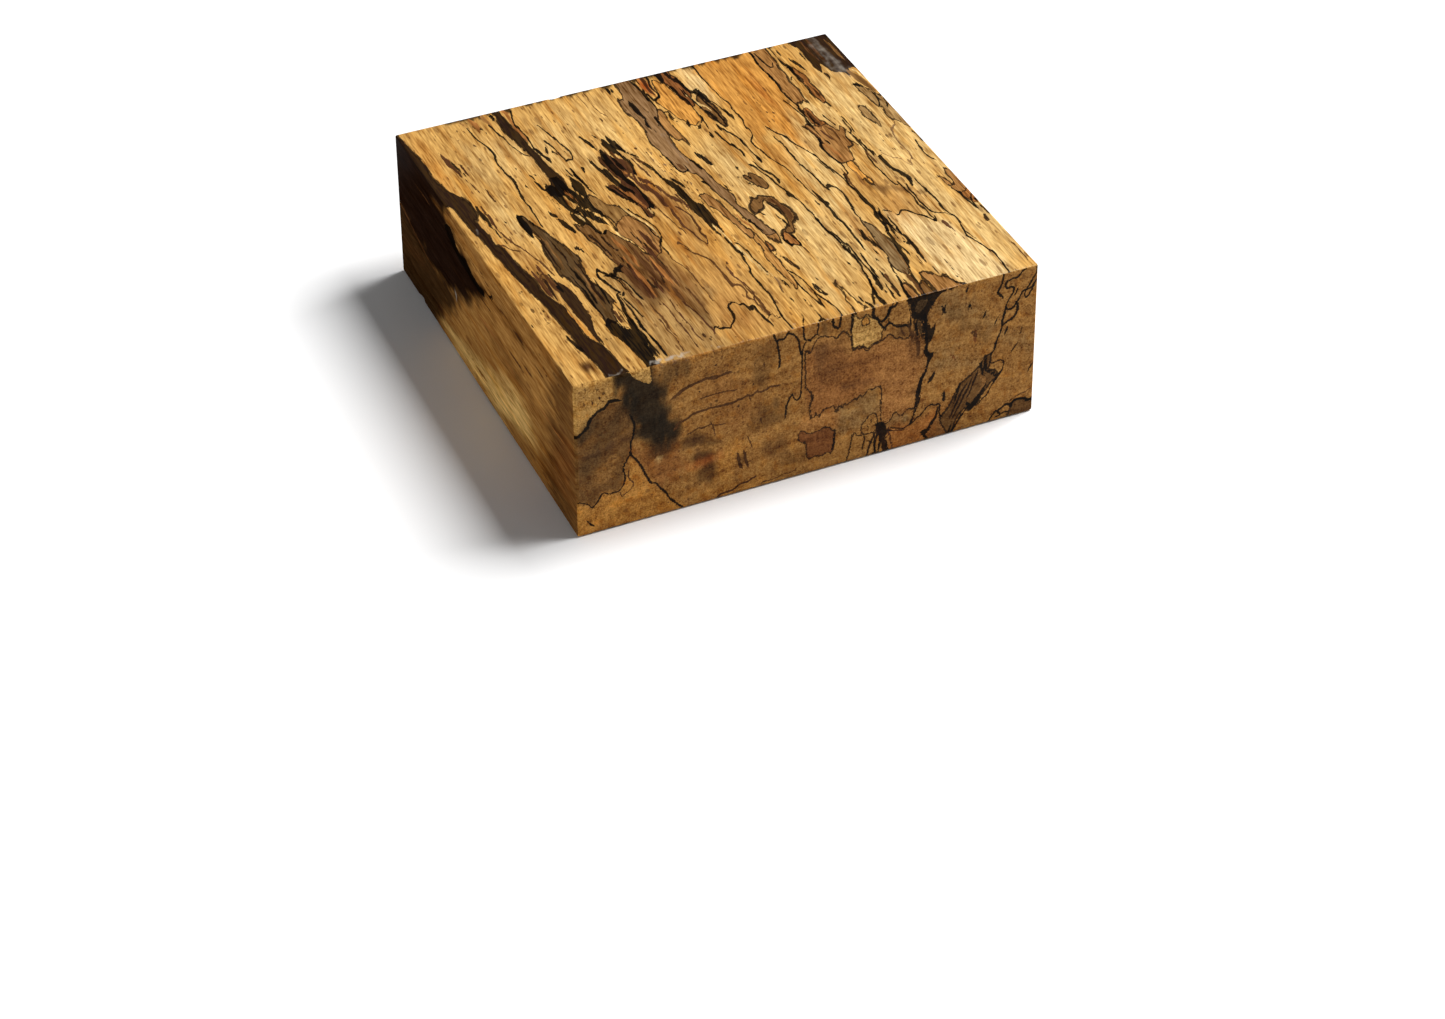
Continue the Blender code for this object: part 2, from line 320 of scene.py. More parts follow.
 71.3,69,2.1 71.8,66,1.9 71.7,63,1.6 71.2,61,.9 71,58,.4 71.5,54,.4 72,51,.5 / 73,66,.7 72.9,62,.6
 73.1,58,.4 73.6,54,.2 74.5,50,.2
streak straw 71.8,62,.2 72.2,56,.5 72.5,51,.4
streak soot 70.3,92,.2 71,89,.5 71.7,87,.4
fleck umber 73,85,.35 73.3,82,.2 75,92,.3 76.6,88,.25 72.2,97,.3 70,101,.3
band ash edge=.3 155,76,80.3 147,75.8,81.5 143,75.2,82 141,73.4,82 137,72.8,82.3 132,72.9,82.8 127,73.8,79.9
 120,73.9,80.1 116,73,79.8 111,72.8,79 107,73.3,79.2 102,73.8,80.1 98,74,80.6 94.5,74.9,81.2 92.5,76,81.5
 90,78.6,81.7 87,79,81.9 83,79.1,82.4 80,79.3,83.3 76.5,79.9,84 74.5,80.1,84.5 72.5,80.4,83.7 69,81.3,83.7
 66,81.7,84.5 62,82.1,85.3 58,82.8,86.3 54,83.5,87 50,84.3,87.3
patch brown edge=.3 80,126 80,120 80.3,115 81.3,111.5 83,109.7 83.8,106 83.6,109 83.3,115 83.2,122 83.7,127
 82.8,131 80.4,130
patch brown edge=.25 74.3,79.4 76,78.8 77.5,77 78.6,74 79,70 79.6,66 79.8,61 80.4,56 81.2,51 79.3,50 78.3,55
 77.5,60 77,66 76,70 74.8,75
streak soot 80.6,99,.5 81.3,94,.5 81.6,91,.3
line w=.3 82.8,58.5,.4 83.5,55 84.5,51,.2
streak soot 79.3,82.5,.4 78.5,85,.3
line w=.15 84,80 84.6,78.6 84.3,77 85,76
streak soot 83.7,100.5,.2 84.3,98,.7 84.9,95.5,.5 85,93.5,.3
patch dun edge=.3 91.8,84 93.5,84.5 95,82 96.2,79 96.5,76 95.8,74.3 94.3,74.8 93.3,77 92.6,80
streak soot 90,83,.4 91,81,.5 92.3,78.5,.4 / 92.3,84,.5 93.3,82.5,.3
fleck soot 91.7,88.5,.4 100.2,90.3,.5
patch dun edge=.5 85.9,65.5 86.5,68.5 88,70.5 89.2,72.3 91,71 93,70 94.7,69.3 95.2,67.5 96.3,64.5 97.2,61.5
 97.2,57 96.3,53.5 94.8,51 92.5,49 90.5,48.2 88.8,46 88.4,48 89.5,50 91.5,51.4 93.3,53.5 94,57 94.2,60.5
 93.2,64 92.3,66.8 91.5,67.3 89.5,65 88.3,64.3 87.3,62.8 86,63.5
patch chestnut edge=.32 88.5,47.5 88.5,43.4 89.5,40.6 91.7,40.3 91.8,45 91,48.8
streak umber 90,69,.5 93,68,.7 94.8,64,.8 95.5,59,.8 95,54,.6
line w=.22 87.5,63.5 88.3,61
line w=.28 92,66 93.5,61 93.8,59
streak soot 91.7,58,.3 92.3,55.5,.5 92.6,53,.4
line w=.32 96.5,103 97,98 97,94
line w=.25 96,90.5 97,86 98,82.5 99,79 99.3,75 100,70 100.2,67.5,.6 101.2,63 101.8,58 102.2,52
line w=.32 97.6,88.5 98.8,84.5 100,81 100.7,77 100.3,75
streak soot 100.3,93,.35 100.2,90.3,.7 100.1,88.5,.3 / 106,24,.2 105.8,19,.4 105.4,13,.3 / 107.6,18,.2
 107.4,12,.5 107,6,.3
fleck soot 97.6,14,.3 109.4,22,.3 104.4,6,.4 112.2,8,.4 120.6,14,.35
line w=.22 99.7,103 99.8,97 100.3,92
streak soot 51.3,81,.3 52,78,.35 53.5,74,.4 54.8,70.5,.4 55.3,69,.3 55.2,66,.2 55,63,.15 / 54.8,62.5,.3
 53.8,60,.35 52.8,58,.2 52.8,55,.3 53,52,.15
line w=.18 50,77 51.5,73 53,69 53.3,64 54,62
streak straw 50,81,.2 52.3,74,.4 54.2,68,.3 54.3,63,.2
streak soot 53.3,127,.45 54.6,122.5,.75 55.4,119,.45 56,115,.2 56.3,112,.4 / 57.3,126.5,.15 57.9,124.3,.3 /
 59.4,123,.4 59.4,119,1.3 59.8,115,1.2 60.8,112,.8 61.6,108,.6 61.8,103,.5 60.8,99,.3 / 61,123.5,.3
 61.6,119,.9 62,115,.7 63,111.5,.3 64,109.5,.2 65.3,108,.2
patch rust edge=0 54.5,114 56,112 57.5,114 59.5,110 61,108 61.5,104 62,101 60,98 56,98 54.6,101 54.5,106
 53.5,110
streak soot 56,114,1 56.3,108,1.1 56.8,102,1 / 58.2,112,.5 58.6,107,.6 59.2,102,.4
streak umber 60.6,107,.3 60.8,104,.4 60.6,101,.3
streak soot 51.2,110.5,.3 52,107,.6 52.8,102,.8 / 53.7,109,.3 54.2,106,.3
streak umber 64.7,106,.5 65.9,102.5,.5
fleck umber 52.8,136.5,.25 63.5,134.5,.45 67.5,136.5,.25 64.7,128,.25 66.7,113,.5 72.3,126.5,.3 71.5,119,.25
 69,107,.4
line umber w=.12 64.6,152 65,140 66,134 / 62.5,151 62.3,143
streak soot 73,153,.2 72.8,149,.5 72.5,146,.3 / 73.8,150,.3 73.6,147.5,.4 / 75.8,137,.9 76,132,.8
 76.6,127,.5 76.2,124,.3 / 78.8,137,.2 79.2,131,.3 80,126,.3 79.8,122,.5
bloom fill=.42 77,140,.6 77.7,132,.8 78.3,127,.6
bloom fill=.36 77.8,120,.5 77.5,112,.8 78.5,103,.4
streak soot 81.6,150,.7 82.3,143,.5 82.3,138,.6 82.7,133,.3
haze ember fill=.95 stretch=3 84.5,146,2.6
streak rust 85.3,152,.3 85.2,146,.5 85,141,.6 85.3,139,.3
streak soot 83.6,154,.6 83.7,148,.3 83.4,143,.2
patch honey edge=.28 84.2,135 85,132 86,129 87,125 88.3,121.5 89,119.5 91.5,119.3 93.2,120.5 93.8,123
 93.5,128 93,133 91.5,137 91,142 90.5,146 88,150 87.3,146 87,140 85.5,137.5
line w=.3 87,153 86.4,148 86.3,143 86.8,140 86,137.5 85,137 84.3,135.3 83.5,137 83.3,141
streak soot 88.3,122,.6 87.8,118.5,.5 / 90.4,117.8,.3 90.4,116.2,.6 91.3,118,.3
line w=.25 83.8,127.5 85.5,128.5 85,125 84.8,122.5 85.5,124
band brick edge=.3 155,90,95 150,90.5,95 146,91,96 141,91.5,96.5 137,92,96.8 134,92.5,95.5 130,93,94
streak soot 91,155,1.3 91,149,1 90.5,146,.4 / 93,155,1 94.2,148,.7 95.5,146,.8 96.3,142,.6 97,138,.7
 98.8,136,1.1 99.8,132,.8 100.5,129,.5 102,125,.35 103,121,.3 / 92,142,.5 92.3,138,.6 93.3,134.5,.8
 93.3,131.5,.5 93.5,128,.2 / 94.2,141,.4 94.5,137,.3
streak straw 95,137,.3 96,132,.4 97.5,127,.3 / 97,129,.2 98.3,125,.3
streak soot 95.5,129,.3 96.5,125,.4 98,120,.5
patch dun edge=.4 97,133 99,134 100.3,127 100.5,120 99.5,114 98.5,112 97.3,116 96.5,121 96,127
streak soot 97.6,137,.25 99,129,.4 99.6,121,.4 99,114,.25 / 95,140,.25 95.4,134,.4 96,128,.25 / 97,124,.3
 97.4,119,.6 97.8,114,.3 / 94,122.5,.4 93.6,119,.3 93.3,116,.3 / 92.5,112,.5 92.2,109,.5 92,107.5,.2 /
 96,114,.4 96.5,112,.5
line w=.32 94.3,111 95,106 96.5,101
line w=.25 97,112 98.5,108 99.5,104 99.8,101
line w=.3 102,51 102.4,45 103.3,41 104,36 104.8,32 104.7,27 104.5,22 104.8,17 104.5,13
streak soot 102.3,46,.3 102.8,39,.3 104,32,.3 103.3,28,.5 103.2,22,.3 102.4,14,.4 101.6,8,.4 101.2,1,.3 /
 106.5,28,.2 106.2,25,.5 105.9,22,.2 / 104.7,14,.5 104.3,11,.4 104.3,8,.2 / 105.6,9,.2 105.3,3,.4
line 108.2,68,.2 108.4,64,.4 108.5,60,.45 108.3,55,.4 108.3,52,.4 108.5,45,.35 108.3,39,.4 108.4,33,.35
 108.3,29,.2
haze ochre fill=.7 stretch=6 112,38,3
line w=.25 114.6,52 114.3,48 114.8,45
patch flint edge=.3 114.7,45 115.5,44 116.3,40 116.8,35 117.5,31 117.8,27 117.2,22 116.5,17 115.5,14
 115,12.5 113,12.8 112,16 112.3,20 113,24 113.2,28 113.6,34 114,40
streak soot 118.8,34,.3 118.6,30,.5 118.2,26,.5 117.7,21,.6 117,17,.6 116,14,.5 115.3,11,.5 115,7,.5
 114,3,.6 113.3,-1,.6
line w=.2 111.2,40 111,33
line 111.7,39,.2 111.5,34,.3 112,31,.4
streak soot 110.7,29,.4 111,27,.2
line w=.2 111.8,17.5,.3 111.2,15 111.3,12
line w=.42 119,34 119.8,35 120,40 119.8,46 120.5,50 120.3,55,.6 120,60,.5 120,65,.3 120.3,70,.3 120.8,73,.3
 122,72.5,.25 122.3,75,.25 122.5,79,.25 121.3,84,.25 121.2,88,.3 122.3,93,.35
streak soot 121.8,47.5,.4 121,44,.4 120.6,40,.4 121.7,38,.3 / 122.6,41.6,.3 122.5,39,.4 123,36,.3
 122.5,33,.4 / 121,36,.3 120.5,32,.3 121.5,29,.3 122.5,27,.6 123,24,.4 122.9,20,.5 122.5,16.5,.3 123,14,.3
 123,10,.2 / 119.3,26,.3 119.5,22,.4 119.3,20,.2
streak umber 121.2,19,.3 121.2,15,.3
streak soot 112.4,34,.2 112.8,30,.4 113,26,.2
streak umber 114.2,14,.3 114.2,9,.5 113.8,3,.6
streak dun 116.4,38,.15 116.8,30,.25 116.4,20,.3 115.4,12,.2
streak soot 120.6,48,.4 121.2,43,.6 121.4,38,.4 121.8,34,.3 / 122.6,36,.3 122.9,30,.5 122.8,24,.6
 122.6,17,.3 / 119.4,36,.3 119.2,30,.4 118.6,24,.3 / 102.6,34,.4 103.6,28,.6 103.4,22,.5 / 104.6,16,.4
 104,12,.6 103.8,8,.4 / 107.8,12,.3 107.2,7,.5 106.8,2,.4
fleck soot 108.4,33,.3 110.4,36,.3 127.9,14,.3 128,10,.35 127.6,6,.3
patch brown edge=.5 118,1 117.8,5 118,9 119.5,10.2 120.8,9 121.5,7.5 123.2,7.6 123.8,5 124.5,4 126,2.5
 127.5,1 127.6,-2 118,-2
streak soot 124.5,5.5,.5 125.7,3.2,.5 127.3,1.6,.4
patch brown edge=.45 109.5,-2 109.5,7.3 111.5,7 112.2,5 112,-2
patch dun edge=.35 114.3,-2 114.3,5 115.6,6 117,5.4 117.1,-2
streak soot 110.8,12,.3 110.3,9,.6 109.3,6,.4 109,1,.4
streak umber 108,14.5,.5 107.2,9,.3 106.6,3,.3
line w=.34 123.2,45.2 125.4,44.2 127,44.9 128.3,46 129.6,44.6 131,42 133,38.8 135,35.8 136,38
line w=.28 134.3,62 134.8,52 134.5,48 135,43 134.8,40 135.3,37.5
line w=.25 136,52 135.5,47 136.2,42 137,40 138.5,38 140,37 141.3,36.4
streak rust 136.7,35,.3 137.3,32,.8 137.6,28,.4 138.3,24,.2
line w=.28 140.5,52 140.8,46 140.7,40 141.3,36.3 141.7,32 141.2,29 141,26 140.3,24 140.5,21.5 141.5,19
 142.5,15 143.6,12.5 143.5,8 142.8,3 142.6,-1
line w=.2 140.8,26 141.5,23 142,21
fleck umber 128,15,.3 128,12,.25 128.2,6,.2 142.7,13.5,.3
line w=.28 148,51 149.2,48 149.3,43 150,38 150.3,36
line w=.25 152,44 151,42 150.3,37
band chestnut edge=.2 53,149.5,153 48,149.6,153 43,149.8,153 40,150.6,153
fleck soot 152.2,41,.45
line w=.2 151.8,38 152.3,32
patch dun edge=.25 150.2,31.6 149.3,30 149.3,28 150.2,28.4 150.6,30
line umber w=.15 151,15 150.8,2
line w=.22 102.3,101 102.5,97 103.5,91 105,85 106,80 106.7,75 106.8,70 107,66 107.7,62 108,59 / 110.2,101
 110.4,96 110.6,90 110.5,83 111.2,80 112,75 112.3,71 112.5,67 113,64
line w=.28 110,108.5 111.5,103 113,99 113.5,96 114.5,93.5 115.5,91 116.3,88.5 117.2,87 117.8,83 118.2,77
 119,71 119.8,67 120,63
line w=.25 112.8,65 113.5,68.5,.4 114.5,66 115.4,63 115.6,59 115.5,54 114.8,50
line w=.18 116.9,82 117.7,76 118.3,71
line w=.24 106.3,60 106.4,57
patch brown edge=.32 121.5,102 122,98 122.5,94 122.3,91 121.3,88 121.7,84 122.3,80 123.8,77.5 126.7,78
 128,80 129,83 130.8,85.3 131.2,88 131,91 132.3,94 132.4,95.5 131,96.3 130,97 129,99 128.3,102 126,102.5
streak soot 123.7,104,.5 123.5,100,.5 124,95,.3 / 124,93,.3 124.2,91.5,.4 / 121,102,.4 121.8,97,.4
 122.3,93,.4 122.7,91,.4
streak umber 127,104,.3 126.5,101,.4
patch honey edge=.25 124.2,77 124.3,74 124.5,69 124.8,65.5 125.8,65 126,62 126.8,59.8 127.2,64 126.7,69
 126.6,74 126.3,77.5
line w=.25 132.7,93 133.3,91 133.3,86 133.2,80 132.8,78 131.8,76 131.8,72 132.3,67 132,65 132.7,61 133,59.3
 133.8,60
line w=.2 130.9,91 131.3,88 132.3,85 132.5,83.7
streak soot 134,88,.4 134,85,.4 134.3,82,.5 134.5,78,.5
streak umber 133,78,.6 133,74,.5
line w=.45 135.7,77,.3 135.7,72 136,69,.4 137,66 138.3,62,.6 138,60,.4 137.3,57,.3
line w=.35 140,60.5 139.9,59,.2 140.3,56,.2 140.5,52,.4
line w=.2 136.3,59 135.7,55 135.9,50
line w=.22 134.3,100.5 134,98 133.8,95 133,92.5
line w=.2 134.9,102 134.9,97 134.2,93.5
patch olive edge=.28 142.8,106 143,107 144.7,105 144.5,100 144.3,95 143.7,93 142.8,95.5 141.7,100 142,104
band olive edge=.3 120.5,147,147.4 116,146.9,150 113,147.2,151.5 109,147.6,153 105,148,154 103,149.2,154
 99,148.2,154 96,149,154 93,149.8,154 91,151,154 89.5,152.2,154
line ash w=.18 149.5,93 148.5,92.5 147,90 146,86 145.3,82 145,77 144.8,72 144.5,69 143.5,68.5 142.5,66
line ash w=.15 136.8,79 138,76 140,72 141.8,68 142.7,66.5
line w=.22 150.5,79 149.8,76 149.6,71 150,67 150.8,65 / 151.8,87 152.3,82 152.4,77
fleck soot 141.7,77.5,.25 137,80.5,.3 111,81,.35
bloom fill=.7 151.3,88,1
patch brown edge=.24 147.2,57 148.2,58.3 148.8,56 149.3,52 150.3,53 150.5,57 151.2,59.7 152.3,58.5 153.4,50
 150,46 148.5,50 147.3,53
line w=.24 103.5,155 103.6,146 103.7,140 104,134 104.9,128 105,122 105.2,115 104.3,110 104.7,107 103.5,103
 102.3,101
line 101,129,.2 102.5,122,.25 103.2,118,.4 103.1,116,.3
fleck rust 116,114,.3 114,117,.25 112,103,.3
line w=.24 124.2,155 124.2,130 124.2,123 124.3,120 124.7,116 124.3,113,.4 124.3,108
streak soot 122,119,.2 122.8,114,.35 123.7,108,.3 124,103,.3
line w=.3 125.3,151 126,146 126.7,141 127.7,140.5 128.3,142
patch brown edge=.35 124.5,155 129.6,155 129.7,146 129.7,141 129,138 129.7,134 129,129 129.3,124 128.8,119
 128.5,115.5 127.5,115 126.5,117 125.5,118.3 124.6,116 124.4,130
haze dun fill=.5 stretch=2 127,148,3
patch chestnut edge=.2 125,113 127,112 127.5,108 128,104 128.5,101 126,101 125,103 124.5,108
streak umber 126,111,.5 126.2,106,.7 126.4,102,.4
streak soot 125.4,108,.3 125.8,104,.5 126.4,102,.3
streak umber 133.7,130,.15 134,124,.35 134,118,.5 134,114,.3
line w=.2 130.8,133 130,130
streak soot 131.5,155,.4 131.2,146,.3 131.5,142,.5 132.3,139,.6 132.6,134,.4 132.3,128,.3 132.2,122,.3
 132,118,.3 133,115,.3 134.3,113,.4 134.7,110,.4 134.8,108,.15
patch chestnut edge=.3 132.5,139 133.6,136 134.7,132 135,126 135,120 134.8,114 133.6,113 132.6,117 132.6,124
 132.9,132
streak soot 132.9,148,.3 132.9,146.5,.45 133,145,.3 / 135,144,.4 135.8,139,.6 136.5,135,.4 / 139.2,143,.4
 139.2,140,.2
patch ink edge=.3 140,156 140.3,147 140,140 140,135 140.8,131.5 141.8,134 142.5,135.5 143.8,133.5
 144.7,130.5 147.5,129 148,126 149,127 150,130 155,129 155,156
streak umber 142.5,150,.3 142.8,143,.5 143,138,.3
streak dun 150.8,148,.3 151,141,.5 151.3,134,.3
streak umber 145,152,.4 145,144,.5 145,137,.3
bloom fill=.42 146.6,152,3 146.4,146,3.6 146.8,140,3.6 147,134,5 147.6,128,4 148.3,124,1.8
streak ink 141,131,.3 141.8,128,.5 141.5,126,.4
streak soot 146.5,120.3,.4 148.5,117.5,.7 149.5,115.5,.5 151.5,112.5,.4
line w=.28 150.8,113 150.5,108 148.8,104.5 148,104
streak dun 149,128,.6 150,122,1 151.5,116,.8
streak straw 150.5,128,.2 151.5,124,.4 152.3,119,.3
streak soot 150.8,103.5,.3 152,108,.3 / 130,104,.3 130.8,100,.3
shade soot soft=.6 fill=.9 18.5,151.8 40,151.7 76,151.5 110,151.4 140,151.2 156,151 156,157 18.5,157
streak soot 83.4,101.5,.5 84.2,98,1 85,94.5,.8 85.6,92.8,.4 / 70.5,91.6,.3 71.2,89,.8 72,86.6,.4
bloom fill=.3 78.3,122,1.2 78.4,112,1.4 78.8,104,1.1 79.2,98,.7
streak soot 76.3,125,.35 75.9,122.5,.6 76.3,120.5,.3
line w=.22 73.8,104 74,99 74.6,95.5 75.6,92.5 76.8,91.8 77.5,94 77.2,98
streak umber 75.2,100,.2 75.9,96.5,.45 76.5,93.5,.25
streak soot 62.2,117,.5 62.8,112,.6 64.2,109,.5 65.4,106,.4 / 66.8,100,.4 67.4,96,.5 68.2,92,.5 /
 52.2,95.5,.2 53.4,91,.35 54.6,86,.3 55.6,82,.2 / 54.4,95.5,.2 55.4,92,.35 56,88,.25 / 46.8,110.5,.3
 47,108.8,.5 46.9,107.2,.25 / 43.4,111,.3 43.5,106,.55 44,102,.5 44.8,98.4,.25
fleck ash 69.5,104,.4 71.5,101,.4 69.8,98,.5 73,95.5,.4 71.2,95,.4 73.5,90,.35 74.8,86,.35 70.2,108,.4
streak soot 22.6,62,.2 23,50,.35 22.8,38,.3
streak dun 20.4,80,.2 21,70,.4 20.6,58,.2
streak ink 25.2,60,.2 24.8,50,.4 24.8,38,.3
streak dun 23.8,58,.2 24,46,.35 23.7,34,.2
streak soot 21.4,52,.2 21.8,42,.35 21.8,30,.3 / 26.4,50,.2 26.4,44,.35 26,37,.4
streak ink 19.5,78,.15 19.6,68,.3 19.2,58,.2 / 22.2,78,.15 22.8,68,.3 23.2,62,.15
streak soot 30.4,36,.25 30.9,26,.35 30.7,15,.35 31.3,3,.3 / 28.7,26,.3 28.8,18,.5 28.5,9,.4 28.3,2,.3
streak umber 66.8,27,.2 67.9,18,.4 67.4,11,.3
streak soot 66.9,10,.4 68.2,9,.5 69.5,7.6,.4
fleck rust 67.2,40.5,.5 66.1,35,.35
streak ink 4.6,98,.2 5,86,.4 5.8,74,.3 / 7,76,.2 7.6,66,.4 8.2,56,.3
streak umber 121.4,103,.2 122.2,98,.4 122.6,94,.2
streak rust 125.4,99,.2 125.8,95,.45 126,90,.2
streak umber 127.8,100,.2 128.6,95,.4 128.4,89,.2
streak chestnut 123,90,.3 124,84,.6 125,79,.3
streak umber 121.2,76,.2 121,68,.35 120.8,62,.2
streak brown 124,74,.3 124.4,66,.6 124,60,.3
streak umber 58.6,117,.3 58.9,113.5,.5 59.2,110,.3
streak rust 63.4,106,.2 64.2,101,.4 64.6,96,.2
streak umber 64.6,90,.2 65.6,86,.35 66.4,82,.2
streak rust 68,82,.2 68.6,77,.35 69.2,72,.2
fleck umber 72.4,93,.35 74,88,.35 73.4,99,.3 75.2,82,.3 72.6,104,.3
"""

